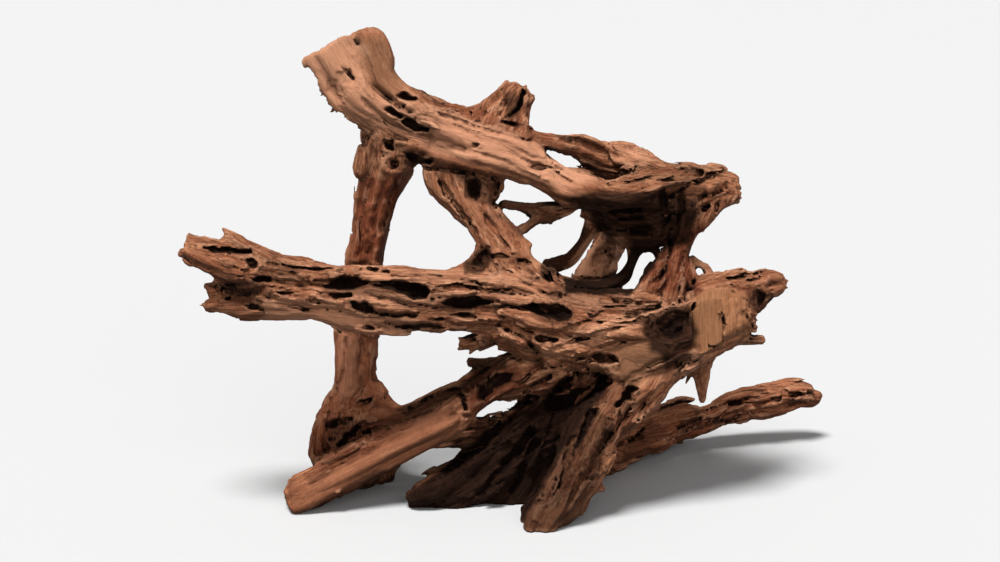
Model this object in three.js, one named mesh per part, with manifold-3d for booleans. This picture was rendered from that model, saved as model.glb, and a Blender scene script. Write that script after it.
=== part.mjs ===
// A weathered mangrove root for an aquarium: limbs, struts and feet grown together around a crown.
// Millimetres, +Z up. The piece stands on its feet at z = 0 and is seen from -Y, as in its elevation.
import * as THREE from "three";
import { mergeVertices } from "three/addons/utils/BufferGeometryUtils.js";
import Module from "manifold-3d";

const wasm = await Module();
wasm.setup();

// Driving dimensions. The elevation sheet is drawn as an eye sees the piece from a little above,
// at a scale of 1 mm to the unit where the line of sight meets the middle plane, depth 0.
const eyeDistance = 2200;
const eyeTilt = THREE.MathUtils.degToRad(16);
const sheetCentre = { across: 500, down: 281 };
const aimHeight = 215;
const boxCentre = { x: 17.4, y: 0.5 }; // middle of the piece's box, measured from the line of sight
const forkGap = 0.4; // clearance between two pieces that meet at a fork
const leastRadius = 1.5;
const capRise = 0.25; // how far an end bulges, as a share of the limb's thickness there
const groundSize = 1600;

// Facets: their width round a limb, and their length along it, which grows with the limb's radius.
const facetWidth = 18;
const fewestSides = 6;
const mostSides = 12;
const facetLength = 11;
const facetLengthPerRadius = 0.36;

// The wood's relief. Heights are shares of the limb's radius. Turns are waves round the limb, and
// pitches are the length of limb, in mm, over which a wave moves on by a radian.
const flutes = { height: 0.15, turns: 2.5, pitch: 90 };
const ledges = { height: 0.1, turns: 3.5, pitch: -70 };
const lumps = { height: 0.035, pitch: 14 };
const bulges = { height: 0.04, pitch: 33 };
const roundBackMiddle = 0.8; // the mean of a rounded wave, so that relief neither swells nor thins a limb

// Bare dry wood. The limbs in the open are paler, and the ones that lie in shade are redder or dark.
const woodColour = 0x9c6a4b;
const woodColours = {
  left_post: 0x74432f,
  left_foot: 0x6d3d2b,
  right_post: 0x70402c,
  hanging_mass: 0x3c241b,
  rear_foot: 0x38231b,
  lower_fork: 0x4a2d22,
  bent_root: 0x4a2d22,
  slender_root: 0x4a2d22,
  rear_stump: 0xa06c54,
};
const woodRoughness = 0.85;

// A point of the piece: across and down on the sheet, depth in mm away from the eye.
const eyeForward = new THREE.Vector3(0, Math.cos(eyeTilt), -Math.sin(eyeTilt));
const eyeUp = new THREE.Vector3(0, Math.sin(eyeTilt), Math.cos(eyeTilt));
const eye = new THREE.Vector3(0, 0, aimHeight).addScaledVector(eyeForward, -eyeDistance);
eye.x -= boxCentre.x;
eye.y -= boxCentre.y;
function lineOfSight(across, down) {
  const ray = eyeForward.clone();
  ray.x += (across - sheetCentre.across) / eyeDistance;
  return ray.addScaledVector(eyeUp, -(down - sheetCentre.down) / eyeDistance);
}
function at(across, down, depth) {
  const ray = lineOfSight(across, down);
  return ray.multiplyScalar((depth - boxCentre.y - eye.y) / ray.y).add(eye);
}

// The limbs, in the order in which they keep their shape: a later one is cut back where it meets an
// earlier one of another node. Each station is [across, down] of one edge, [across, down] of the
// other, the depth of the middle and half the thickness. ends says how ragged the two ends are.
const limbs = [
  {
    node: "crown",
    ends: [0, 0.5],
    stations: [
      [514, 268, 508, 346, -48, 30],
      [536, 272, 530, 358, -46, 34],
      [562, 279, 553, 368, -44, 40],
      [592, 286, 588, 376, -42, 45],
      [625, 290, 624, 384, -40, 47],
      [655, 289, 660, 388, -38, 46],
      [684, 287, 690, 374, -36, 42],
      [708, 288, 713, 354, -34, 37],
      [730, 287, 733, 343, -32, 30],
      [751, 298, 752, 331, -30, 17],
    ],
  },
  {
    // The thorn that hangs down in front of the rear root.
    node: "crown",
    ends: [0, 0],
    stations: [
      [682, 352, 718, 350, -30, 18],
      [688, 365, 713, 362, -30, 12],
      [694, 378, 710, 376, -30, 8],
      [696, 390, 708, 389, -30, 6],
      [698, 401, 707, 401, -30, 5],
    ],
  },
  {
    // A short stick with a round end.
    node: "crown",
    ends: [0, 0],
    stations: [
      [728, 328, 726, 350, -28, 10],
      [742, 331, 741, 347, -26, 7],
      [754, 334, 754, 346, -24, 5.5],
      [763, 334, 763, 346, -23, 5.5],
    ],
  },
  {
    node: "front_foot",
    ends: [0, 0],
    stations: [
      [592, 350, 690, 366, -46, 38],
      [586, 380, 675, 386, -54, 36],
      [574, 407, 654, 407, -66, 33],
      [560, 434, 630, 433, -78, 30],
      [551, 456, 618, 458, -88, 28],
      [542, 478, 600, 480, -97, 27],
      [529, 502, 586, 502, -107, 25],
      [520, 517, 570, 518, -113, 22],
      [517, 537, 558, 539, -121, 19],
    ],
  },
  {
    node: "front_foot",
    ends: [0, 0.3],
    stations: [
      [578, 474, 576, 494, -92, 12],
      [597, 478, 594, 496, -90, 8],
      [606, 487, 604, 493, -89, 4],
    ],
  },
  {
    node: "middle_limb",
    ends: [0, 0],
    stations: [
      [264, 252, 258, 316, -64, 24],
      [288, 260, 286, 316, -64, 27],
      [318, 264, 318, 319, -63, 28],
      [350, 266, 350, 327, -62, 28],
      [384, 269, 384, 333, -60, 29],
      [418, 269, 418, 336, -58, 30],
      [450, 268, 450, 335, -56, 31],
      [482, 268, 484, 341, -52, 32],
      [512, 268, 514, 348, -48, 34],
      [540, 272, 540, 356, -46, 36],
    ],
  },
  {
    // The limb's tip has split in two, with a splinter standing off the upper half.
    node: "middle_limb",
    ends: [0.9, 0],
    stations: [
      [184, 242, 180, 259, -68, 12],
      [190, 236, 189, 266, -68, 17],
      [212, 239, 208, 276, -68, 21],
      [238, 244, 236, 288, -67, 24],
      [268, 254, 266, 298, -65, 25],
      [300, 262, 298, 302, -64, 26],
    ],
  },
  {
    node: "middle_limb",
    ends: [0.9, 0],
    stations: [
      [204, 285, 203, 310, -58, 12],
      [215, 281, 214, 314, -58, 17],
      [238, 276, 238, 319, -60, 21],
      [268, 272, 268, 319, -62, 24],
      [300, 270, 300, 319, -63, 25],
    ],
  },
  {
    node: "middle_limb",
    ends: [0.6, 0],
    stations: [
      [222, 228, 226, 238, -60, 3],
      [232, 230, 231, 246, -61, 5],
      [248, 239, 246, 256, -62, 9],
      [270, 252, 268, 268, -63, 12],
    ],
  },
  {
    // A tuft of splinters that hangs under the limb.
    node: "middle_limb",
    ends: [0, 0.9],
    stations: [
      [510, 332, 508, 347, -44, 12],
      [490, 333, 488, 346, -42, 10],
      [472, 336, 472, 350, -40, 9],
      [459, 340, 460, 351, -39, 5],
    ],
  },
  {
    node: "right_horn",
    ends: [0, 0.7],
    stations: [
      [700, 280, 714, 336, -22, 24],
      [716, 276, 730, 332, -19, 23],
      [732, 273, 744, 326, -16, 21],
      [750, 269, 758, 318, -12, 18],
      [765, 269, 770, 303, -8, 16],
      [776, 269, 778, 299, -5, 14],
      [783, 272, 783, 295, -4, 11],
    ],
  },
  {
    node: "front_left_root",
    ends: [0.2, 0],
    stations: [
      [279, 485, 286, 510, -69, 14],
      [289, 477, 301, 518, -68, 22],
      [312, 467, 328, 504, -64, 25],
      [345, 448, 360, 487, -58, 26],
      [380, 432, 394, 468, -52, 26],
      [415, 416, 428, 450, -48, 25],
      [448, 398, 458, 434, -44, 25],
      [474, 380, 482, 416, -41, 24],
      [500, 361, 505, 402, -40, 25],
      [524, 346, 528, 396, -40, 28],
      [556, 336, 560, 394, -42, 30],
    ],
  },
  {
    // A short stick that stands off the root's upper end.
    node: "front_left_root",
    ends: [0, 0.2],
    stations: [
      [514, 357, 512, 371, -26, 7],
      [490, 358, 490, 369, -24, 6],
      [468, 358, 468, 367, -22, 5],
    ],
  },
  {
    node: "rear_foot",
    ends: [0, 0.4],
    stations: [
      [572, 340, 634, 374, -34, 30],
      [554, 376, 606, 416, -34, 32],
      [530, 402, 572, 446, -34, 33],
      [500, 424, 538, 472, -36, 33],
      [474, 443, 506, 492, -42, 31],
      [452, 460, 474, 508, -50, 27],
      [430, 474, 444, 518, -60, 21],
      [413, 487, 418, 519, -66, 16],
      [405, 492, 407, 514, -68, 9],
    ],
  },
  {
    node: "rear_foot",
    ends: [0, 0],
    stations: [
      [560, 400, 600, 420, -30, 26],
      [535, 430, 585, 452, -32, 27],
      [508, 458, 560, 482, -38, 26],
      [484, 484, 540, 512, -44, 22],
      [468, 502, 528, 524, -47, 16],
    ],
  },
  {
    node: "lower_fork",
    ends: [0.3, 0],
    stations: [
      [416, 428, 426, 450, -40, 13],
      [440, 420, 446, 452, -38, 15],
      [466, 417, 468, 453, -34, 17],
      [492, 414, 490, 454, -28, 19],
      [516, 407, 512, 452, -24, 21],
      [542, 390, 538, 452, -22, 26],
    ],
  },
  {
    node: "left_foot",
    ends: [0, 0],
    stations: [
      [330, 397, 385, 396, 8, 23],
      [317, 412, 400, 409, 8, 29],
      [305, 432, 408, 430, 8, 34],
      [305, 456, 402, 450, 8, 36],
      [310, 478, 392, 472, 8, 35],
      [316, 500, 384, 492, 8, 30],
    ],
  },
  {
    node: "top_strand",
    ends: [0, 0],
    stations: [
      [374, 402, 380, 444, -4, 20],
      [402, 403, 406, 436, -10, 17],
      [432, 391, 436, 418, -15, 15],
      [462, 380, 466, 404, -18, 15],
      [488, 368, 494, 398, -22, 17],
      [514, 356, 520, 398, -28, 20],
    ],
  },
  {
    node: "upper_limb",
    ends: [0.25, 0.6],
    stations: [
      [350, 31, 301, 59, -14, 9],
      [362, 52, 312, 76, -12, 13],
      [375, 70, 320, 93, -9, 18],
      [390, 86, 334, 109, -6, 22],
      [406, 96, 354, 124, -3, 25],
      [422, 102, 380, 146, 0, 26],
      [442, 104, 408, 160, 0, 27],
      [464, 108, 438, 171, 0, 27],
      [485, 118, 470, 178, 0, 27],
      [508, 125, 500, 183, -1, 26],
      [528, 140, 522, 186, -3, 23],
      [548, 155, 540, 191, -5, 20],
      [566, 166, 556, 204, -5, 20],
      [586, 171, 580, 212, -4, 21],
      [608, 177, 605, 214, -2, 23],
      [632, 171, 632, 212, 1, 26],
      [657, 162, 657, 212, 5, 28],
      [682, 161, 681, 212, 9, 28],
      [706, 163, 704, 210, 12, 26],
      [724, 167, 723, 206, 14, 21],
      [738, 180, 737, 202, 15, 12],
    ],
  },
  {
    // The round knob, grown against the limb's upper end.
    node: "upper_limb",
    ends: [0.3, 0],
    stations: [
      [350, 30, 377, 31, 4, 9],
      [345, 41, 389, 42, 4, 14],
      [351, 58, 396, 60, 4, 18],
      [362, 76, 400, 76, 3, 20],
      [377, 93, 412, 88, 2, 21],
      [395, 109, 428, 97, 0, 21],
      [414, 122, 446, 106, 0, 20],
    ],
  },
  {
    node: "left_post",
    ends: [0, 0],
    stations: [
      [360, 128, 424, 150, -2, 20],
      [361, 148, 416, 162, 0, 21],
      [357, 168, 408, 178, 2, 20],
      [353, 194, 399, 196, 4, 18],
      [351, 220, 393, 221, 5, 17],
      [348, 243, 387, 243, 6, 17],
      [343, 268, 382, 268, 7, 17],
      [341, 296, 378, 296, 8, 17],
      [335, 325, 378, 326, 8, 19],
      [334, 352, 377, 352, 8, 20],
      [334, 376, 376, 376, 8, 21],
      [330, 393, 386, 391, 8, 24],
      [322, 406, 394, 402, 8, 27],
    ],
  },
  {
    // A flake of bark standing off the post.
    node: "left_post",
    ends: [0.3, 0.3],
    stations: [
      [358, 147, 368, 148, -6, 7],
      [355, 158, 369, 158, -6, 9],
      [353, 170, 367, 171, -6, 9],
      [354, 175, 363, 175, -6, 6],
    ],
  },
  {
    node: "upper_stub",
    ends: [0, 0.5],
    stations: [
      [466, 122, 534, 132, 4, 20],
      [474, 110, 535, 120, 7, 19],
      [484, 101, 535, 110, 10, 17],
      [492, 94, 537, 101, 12, 15],
      [499, 88, 540, 93, 13, 13],
    ],
  },
  {
    node: "rear_fork",
    ends: [0, 0],
    stations: [
      [500, 124, 504, 160, 6, 18],
      [522, 127, 524, 149, 14, 15],
      [545, 131, 546, 152, 20, 12],
      [565, 132, 564, 157, 27, 12],
      [584, 131, 578, 168, 34, 12],
      [603, 135, 600, 182, 40, 12],
      [624, 138, 618, 188, 42, 14],
      [645, 148, 638, 188, 38, 16],
      [666, 161, 660, 192, 30, 17],
      [690, 165, 686, 196, 20, 17],
    ],
  },
  {
    node: "centre_strut",
    ends: [0, 0],
    stations: [
      [414, 154, 512, 160, -4, 22],
      [418, 174, 513, 179, -6, 22],
      [434, 194, 509, 195, -10, 21],
      [449, 210, 504, 208, -16, 20],
      [460, 221, 509, 220, -20, 20],
      [468, 234, 519, 236, -25, 20],
      [471, 249, 530, 251, -31, 20],
      [472, 264, 544, 268, -38, 22],
      [490, 284, 562, 286, -44, 22],
    ],
  },
  {
    // A dark twig that leaves the strut's foot.
    node: "centre_strut",
    ends: [0, 0.2],
    stations: [
      [486, 246, 492, 272, -32, 9],
      [473, 253, 479, 270, -34, 7],
      [464, 261, 467, 271, -37, 5],
      [455, 269, 458, 276, -40, 4],
    ],
  },
  {
    node: "forked_twig",
    ends: [0, 0],
    stations: [
      [600, 192, 606, 210, 2, 12],
      [578, 198, 582, 212, 2, 10],
      [556, 203, 562, 218, 1, 8],
      [536, 209, 545, 223, 0, 7],
      [526, 219, 532, 231, -5, 6],
      [514, 230, 520, 238, -14, 5],
      [506, 236, 512, 244, -20, 4],
    ],
  },
  {
    node: "forked_twig",
    ends: [0, 0],
    stations: [
      [552, 205, 550, 220, 1, 7],
      [530, 204, 528, 214, 0, 6],
      [514, 201, 512, 211, -1, 5.5],
      [502, 200, 503, 208, -2, 4.5],
    ],
  },
  {
    node: "right_post",
    ends: [0, 0],
    stations: [
      [664, 184, 739, 194, 12, 25],
      [665, 202, 728, 207, 12, 24],
      [665, 219, 714, 221, 12, 21],
      [666, 236, 701, 238, 11, 17],
      [662, 252, 694, 252, 8, 16],
      [653, 266, 697, 264, 3, 19],
      [642, 280, 703, 281, -6, 24],
      [630, 296, 706, 298, -14, 26],
    ],
  },
  {
    // Thin roots that stand off the post and leave two small loops.
    node: "right_post",
    ends: [0, 0],
    stations: [
      [648, 234, 658, 236, 18, 6],
      [650, 247, 658, 246, 14, 4],
      [655, 257, 663, 258, 10, 5],
      [655, 267, 667, 270, 5, 7],
    ],
  },
  {
    node: "right_post",
    ends: [0, 0],
    stations: [
      [684, 252, 686, 272, 4, 7],
      [697, 258, 695, 269, 4, 6],
      [710, 265, 702, 272, 2, 6],
      [716, 278, 703, 279, -2, 6],
      [721, 292, 702, 290, -6, 7],
    ],
  },
  {
    node: "hanging_mass",
    ends: [0, 0],
    stations: [
      [590, 198, 590, 224, 24, 17],
      [604, 196, 604, 234, 30, 24],
      [628, 194, 628, 246, 34, 29],
      [650, 192, 652, 248, 32, 29],
      [676, 190, 678, 238, 24, 24],
    ],
  },
  {
    node: "rear_stump",
    ends: [0, 0],
    stations: [
      [560, 306, 630, 306, 30, 26],
      [569, 292, 624, 292, 56, 24],
      [572, 276, 619, 277, 70, 22],
      [579, 258, 620, 259, 76, 20],
      [588, 244, 627, 246, 74, 19],
      [600, 232, 624, 233, 64, 18],
      [604, 220, 626, 220, 52, 17],
    ],
  },
  {
    node: "slender_root",
    ends: [0.3, 0],
    stations: [
      [543, 259, 548, 272, 18, 7],
      [554, 258, 561, 271, 24, 7],
      [566, 252, 575, 264, 29, 7],
      [577, 239, 587, 248, 33, 8],
      [585, 225, 598, 233, 36, 9],
      [592, 212, 606, 219, 36, 10],
    ],
  },
  {
    node: "bent_root",
    ends: [0, 0],
    stations: [
      [626, 238, 651, 241, 28, 14],
      [628, 252, 642, 254, 26, 9],
      [626, 263, 637, 264, 20, 8],
      [616, 274, 628, 283, 12, 9],
      [600, 279, 604, 295, 2, 10],
      [580, 279, 580, 296, -6, 10],
      [562, 274, 558, 291, -14, 10],
      [549, 266, 544, 280, -22, 8],
    ],
  },
  {
    node: "rear_right_root",
    ends: [0, 0.5],
    stations: [
      [548, 380, 552, 440, -22, 28],
      [574, 398, 580, 470, 14, 31],
      [600, 412, 604, 476, 42, 31],
      [622, 416, 626, 464, 58, 29],
      [650, 409, 654, 455, 80, 26],
      [678, 399, 682, 447, 96, 23],
      [706, 403, 708, 434, 106, 20],
      [736, 388, 738, 427, 113, 18],
      [766, 383, 768, 421, 119, 17],
      [794, 382, 796, 413, 124, 14],
      [812, 387, 813, 409, 127, 11],
      [820, 391, 820, 401, 128, 6],
    ],
  },
];

// Hollows that rot and worms have left: middle on the sheet, length, width, depth, and the turn of
// the length from level, in degrees clockwise.
const hollows = [
  { node: "upper_limb", across: 349, down: 76, long: 24, wide: 9, deep: 7, turn: 55 },
  { node: "upper_limb", across: 410, down: 98, long: 28, wide: 8, deep: 8, turn: 14 },
  { node: "upper_limb", across: 418, down: 127, long: 34, wide: 11, deep: 10, turn: 17 },
  { node: "upper_limb", across: 391, down: 145, long: 14, wide: 9, deep: 8, turn: 70 },
  { node: "upper_limb", across: 418, down: 158, long: 30, wide: 8, deep: 7, turn: 10 },
  { node: "upper_limb", across: 540, down: 167, long: 20, wide: 6, deep: 7, turn: 8 },
  { node: "upper_limb", across: 672, down: 199, long: 26, wide: 16, deep: 14, turn: 100 },
  { node: "upper_limb", across: 702, down: 179, long: 24, wide: 6, deep: 7, turn: 160 },
  { node: "upper_stub", across: 515, down: 105, long: 24, wide: 10, deep: 9, turn: 110 },
  { node: "middle_limb", across: 222, down: 251, long: 56, wide: 7, deep: 9, turn: 5 },
  { node: "middle_limb", across: 246, down: 290, long: 42, wide: 16, deep: 8, turn: 0 },
  { node: "middle_limb", across: 352, down: 285, long: 46, wide: 10, deep: 9, turn: 2 },
  { node: "middle_limb", across: 405, down: 291, long: 52, wide: 17, deep: 16, turn: 5 },
  { node: "middle_limb", across: 374, down: 310, long: 48, wide: 8, deep: 8, turn: 12 },
  { node: "middle_limb", across: 474, down: 302, long: 60, wide: 9, deep: 10, turn: -3 },
  { node: "crown", across: 540, down: 313, long: 66, wide: 14, deep: 12, turn: 7 },
  { node: "crown", across: 668, down: 332, long: 50, wide: 36, deep: 12, turn: -35 },
  { node: "crown", across: 598, down: 358, long: 34, wide: 10, deep: 9, turn: -6 },
  { node: "right_horn", across: 760, down: 299, long: 22, wide: 15, deep: 12, turn: 70 },
  { node: "left_foot", across: 346, down: 441, long: 34, wide: 13, deep: 12, turn: -42 },
  { node: "front_foot", across: 624, down: 396, long: 26, wide: 10, deep: 10, turn: 115 },
  { node: "rear_foot", across: 580, down: 388, long: 50, wide: 22, deep: 16, turn: -8 },
  { node: "rear_right_root", across: 690, down: 424, long: 32, wide: 7, deep: 8, turn: -15 },
  { node: "rear_right_root", across: 776, down: 400, long: 26, wide: 7, deep: 7, turn: -8 },
  { node: "centre_strut", across: 478, down: 192, long: 30, wide: 20, deep: 9, turn: 30 },
];

// A mesh as a manifold solid. Only positions are kept, and shared vertices are merged.
function solidOf(geometry) {
  const bare = geometry.clone();
  bare.deleteAttribute("normal");
  bare.deleteAttribute("uv");
  const merged = mergeVertices(bare);
  return new wasm.Manifold(
    new wasm.Mesh({
      numProp: 3,
      vertProperties: new Float32Array(merged.attributes.position.array),
      triVerts: new Uint32Array(merged.index.array),
    }),
  );
}

function geometryOf(solid) {
  const { vertProperties, triVerts } = solid.getMesh();
  const geometry = new THREE.BufferGeometry();
  geometry.setAttribute("position", new THREE.BufferAttribute(vertProperties, 3));
  geometry.setIndex(new THREE.BufferAttribute(triVerts, 1));
  geometry.computeVertexNormals();
  return geometry;
}

// A repeatable number from 0 to 1 for each pair of whole numbers.
function chance(i, seed) {
  const wave = Math.sin(i * 12.9898 + seed * 78.233) * 43758.5453;
  return wave - Math.floor(wave);
}

// How far the wood stands out of a plain oval at an angle round the limb, as a share of its radius.
// Flutes with round backs and sharp valleys run along the limb and wind slowly round it.
function relief(angle, along, seed) {
  const roundBack = ({ turns, pitch }, phase) =>
    Math.abs(Math.sin(turns * angle + along / pitch + phase)) - roundBackMiddle;
  const lump = Math.sin(along / lumps.pitch + 3 * seed + 2 * Math.sin(angle + seed));
  const bulge = Math.sin(along / bulges.pitch - 2 * angle + seed);
  return (
    flutes.height * roundBack(flutes, seed) +
    ledges.height * roundBack(ledges, 2.3 * seed) +
    lumps.height * lump +
    bulges.height * bulge
  );
}

// Which way is out of a limb at one of its rings: back at the first, on at the last, and else neither.
function outwardAt(ring, lastRing) {
  if (ring === 0) return -1;
  return ring === lastRing ? 1 : 0;
}

// A limb swept through its stations and closed at both ends. grow makes it fatter all round.
function limbSolid({ stations, ends }, seed, grow = 0) {
  const middleAt = ([a, b, c, d, depth]) => at((a + c) / 2, (b + d) / 2, depth);
  const edgeAt = ([a, b, c, d, depth]) => at(c, d, depth).sub(at(a, b, depth)).divideScalar(2);
  const middle = new THREE.CatmullRomCurve3(stations.map(middleAt), false, "catmullrom", 0.5);
  const edge = new THREE.CatmullRomCurve3(stations.map(edgeAt), false, "catmullrom", 0.5);
  const thickness = new THREE.SplineCurve(stations.map((station, i) => new THREE.Vector2(i, station[5])));
  const length = middle.getLength();
  const radii = stations.map((station) => Math.hypot(edgeAt(station).length(), station[5]) / Math.SQRT2);
  const widest = Math.max(...radii);
  const facetsRound = Math.round((2 * Math.PI * widest) / facetWidth);
  const sides = THREE.MathUtils.clamp(facetsRound, fewestSides, mostSides);
  const facetsAlong = Math.round(length / (facetLength + facetLengthPerRadius * widest));
  const rings = Math.max(stations.length - 1, facetsAlong);
  const points = [];
  for (let i = 0; i <= rings; i++) {
    const t = i / rings;
    const centre = middle.getPoint(t);
    const tangent = middle.getTangent(t);
    const half = edge.getPoint(t);
    half.addScaledVector(tangent, -half.dot(tangent));
    const across = half.clone().normalize();
    const away = tangent.clone().cross(across);
    const width = Math.max(leastRadius, half.length());
    const depth = Math.max(leastRadius, thickness.getPoint(t).y);
    const outward = outwardAt(i, rings);
    const raggedness = i === 0 ? ends[0] : ends[1];
    for (let j = 0; j < sides; j++) {
      const angle = (2 * Math.PI * j) / sides;
      const swell = 1 + relief(angle, t * length, seed);
      const splinter = outward * (grow + raggedness * depth * (chance(j, seed) - 0.6));
      points.push(
        centre
          .clone()
          .addScaledVector(across, (width * swell + grow) * Math.cos(angle))
          .addScaledVector(away, (depth * swell + grow) * Math.sin(angle))
          .addScaledVector(tangent, splinter),
      );
    }
  }
  for (const ring of [0, rings]) {
    const t = ring / rings;
    const rise = grow + capRise * thickness.getPoint(t).y;
    points.push(middle.getPoint(t).addScaledVector(middle.getTangent(t), outwardAt(ring, rings) * rise));
  }
  const indices = [];
  const corner = (i, j) => i * sides + (j % sides);
  for (let j = 0; j < sides; j++) {
    for (let i = 0; i < rings; i++) {
      indices.push(corner(i, j), corner(i, j + 1), corner(i + 1, j + 1));
      indices.push(corner(i, j), corner(i + 1, j + 1), corner(i + 1, j));
    }
    indices.push(points.length - 2, corner(0, j + 1), corner(0, j));
    indices.push(points.length - 1, corner(rings, j), corner(rings, j + 1));
  }
  const geometry = new THREE.BufferGeometry().setFromPoints(points);
  geometry.setIndex(indices);
  return solidOf(geometry);
}

// A hollow as a long round cutter, set on the face that the eye sees first.
function hollowSolid({ across, down, long, wide, deep, turn }, solid) {
  const sight = lineOfSight(across, down).normalize();
  const caster = new THREE.Raycaster(eye, sight);
  const [hit] = caster.intersectObject(new THREE.Mesh(geometryOf(solid)));
  if (!hit) throw new Error(`no wood at ${across}, ${down}`);
  const cutter = new THREE.OctahedronGeometry(1, 1);
  cutter.scale(long / 2, deep, wide / 2);
  cutter.rotateY(THREE.MathUtils.degToRad(turn));
  cutter.rotateX(-eyeTilt);
  cutter.translate(hit.point.x, hit.point.y, hit.point.z);
  return solidOf(cutter);
}

// The ground that the feet stand on, as a solid to trim them flat.
const ground = solidOf(
  new THREE.BoxGeometry(groundSize, groundSize, groundSize).translate(0, 0, -groundSize / 2),
);

// All the limbs of one node as one solid. A limb's place in the list seeds its relief.
function nodeSolid(name, grow = 0) {
  const solids = limbs.map((limb, seed) => (limb.node === name ? limbSolid(limb, seed, grow) : null));
  return solids.filter((solid) => solid !== null).reduce((whole, solid) => whole.add(solid));
}

function woodMesh(name, solid) {
  const color = woodColours[name] ?? woodColour;
  const wood = new THREE.MeshStandardMaterial({ color, roughness: woodRoughness, metalness: 0 });
  const mesh = new THREE.Mesh(geometryOf(solid), wood);
  mesh.name = name;
  return mesh;
}

// Each node gives way to the nodes before it, stands on the ground and then gets its hollows. Crumbs
// that this cuts loose are dropped.
const root = new THREE.Group();
const earlier = [];
for (const name of new Set(limbs.map((limb) => limb.node))) {
  let solid = nodeSolid(name);
  for (const other of earlier) solid = solid.subtract(other);
  solid = solid.subtract(ground);
  for (const hollow of hollows.filter((one) => one.node === name)) {
    solid = solid.subtract(hollowSolid(hollow, solid));
  }
  const [largest] = solid.decompose().sort((a, b) => b.volume() - a.volume());
  earlier.push(nodeSolid(name, forkGap));
  root.add(woodMesh(name, largest));
}

export default root;
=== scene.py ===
"""A weathered mangrove root for an aquarium.

The wood is carved as a field of distances: every limb is a sweep through its stations, limbs are
joined softly at their forks, and the grain, cracks, ledges and rot holes are cut into the field. The
field becomes one skin of mesh, which is parted at the main forks into the pieces of the model.
"""
import math
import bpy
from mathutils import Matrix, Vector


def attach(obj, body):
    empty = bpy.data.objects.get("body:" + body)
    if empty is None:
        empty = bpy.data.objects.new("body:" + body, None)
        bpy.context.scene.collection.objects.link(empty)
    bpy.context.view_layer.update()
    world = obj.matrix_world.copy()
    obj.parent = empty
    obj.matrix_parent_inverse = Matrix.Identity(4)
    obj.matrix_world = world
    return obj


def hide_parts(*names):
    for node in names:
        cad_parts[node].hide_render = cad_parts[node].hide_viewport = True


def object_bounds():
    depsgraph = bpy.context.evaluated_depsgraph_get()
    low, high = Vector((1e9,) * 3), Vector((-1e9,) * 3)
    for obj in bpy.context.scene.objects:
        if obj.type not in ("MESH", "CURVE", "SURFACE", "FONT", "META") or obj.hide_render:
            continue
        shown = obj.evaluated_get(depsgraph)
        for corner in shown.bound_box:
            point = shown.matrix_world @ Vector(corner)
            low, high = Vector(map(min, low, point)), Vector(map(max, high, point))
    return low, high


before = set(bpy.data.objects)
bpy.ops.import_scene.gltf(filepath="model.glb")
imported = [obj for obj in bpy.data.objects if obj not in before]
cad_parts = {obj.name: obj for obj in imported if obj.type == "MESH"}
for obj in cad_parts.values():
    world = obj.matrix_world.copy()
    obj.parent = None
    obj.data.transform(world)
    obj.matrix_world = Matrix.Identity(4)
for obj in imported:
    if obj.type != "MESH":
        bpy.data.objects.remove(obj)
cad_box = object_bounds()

from concurrent.futures import ThreadPoolExecutor

import bpy
import numpy as np
import openvdb
from mathutils import Vector

# The view that the root is drawn in, in millimetres. The sheet is drawn as an eye sees the piece from a
# little above, at 1 mm to the unit where the line of sight meets the middle plane, depth 0.
EYE_DISTANCE = 2200.0
EYE_TILT = math.radians(16)
SHEET_CENTRE = (500.0, 281.0)
SHEET_SIZE = (1000, 562)
AIM_HEIGHT = 215.0
BOX_CENTRE = (17.4, 0.5)

EYE_FORWARD = np.array([0, math.cos(EYE_TILT), -math.sin(EYE_TILT)])
EYE_UP = np.array([0, math.sin(EYE_TILT), math.cos(EYE_TILT)])
EYE = np.array([-BOX_CENTRE[0], -BOX_CENTRE[1], AIM_HEIGHT]) - EYE_DISTANCE * EYE_FORWARD


def at(across, down, depth):
    """The point of the piece that the sheet shows at (across, down), at a depth away from the eye."""
    across, down, depth = np.broadcast_arrays(across, down, depth)
    sideways = np.multiply.outer((across - SHEET_CENTRE[0]) / EYE_DISTANCE, [1.0, 0.0, 0.0])
    ray = EYE_FORWARD + sideways - np.multiply.outer((down - SHEET_CENTRE[1]) / EYE_DISTANCE, EYE_UP)
    return EYE + ray * ((depth - BOX_CENTRE[1] - EYE[1]) / ray[..., 1])[..., None]


def on_sheet(points):
    """Where points fall on the sheet (across, down), and how far from the eye they are."""
    rel = points - EYE
    far = rel @ EYE_FORWARD
    across = SHEET_CENTRE[0] + rel[..., 0] * EYE_DISTANCE / far
    down = SHEET_CENTRE[1] - (rel @ EYE_UP) * EYE_DISTANCE / far
    return across, down, far


def number(word):
    """A word of a table as a whole number or a fraction, or the word itself."""
    if word[-1].isalpha():
        return word
    return float(word) if "." in word else int(word)


def table(text):
    """The rows of a drawn table: what stands before the colon, and then the list of points.

    A line that starts with a blank goes on with the row above, and one that starts with # is a note.
    """
    rows = []
    for line in text.strip().replace("\n ", " ").splitlines():
        if line.startswith("#"):
            continue
        head, _, body = line.rpartition(":")
        points = [tuple(number(value) for value in point.split(",")) for point in body.split()]
        rows.append((*(number(word) for word in head.split()), points))
    return rows


# A millimetre in metres, a metre in millimetres, and a distance in mm that is further than any other.
MM = 0.001
METRE = 1000
NOWHERE = 1e9

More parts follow.
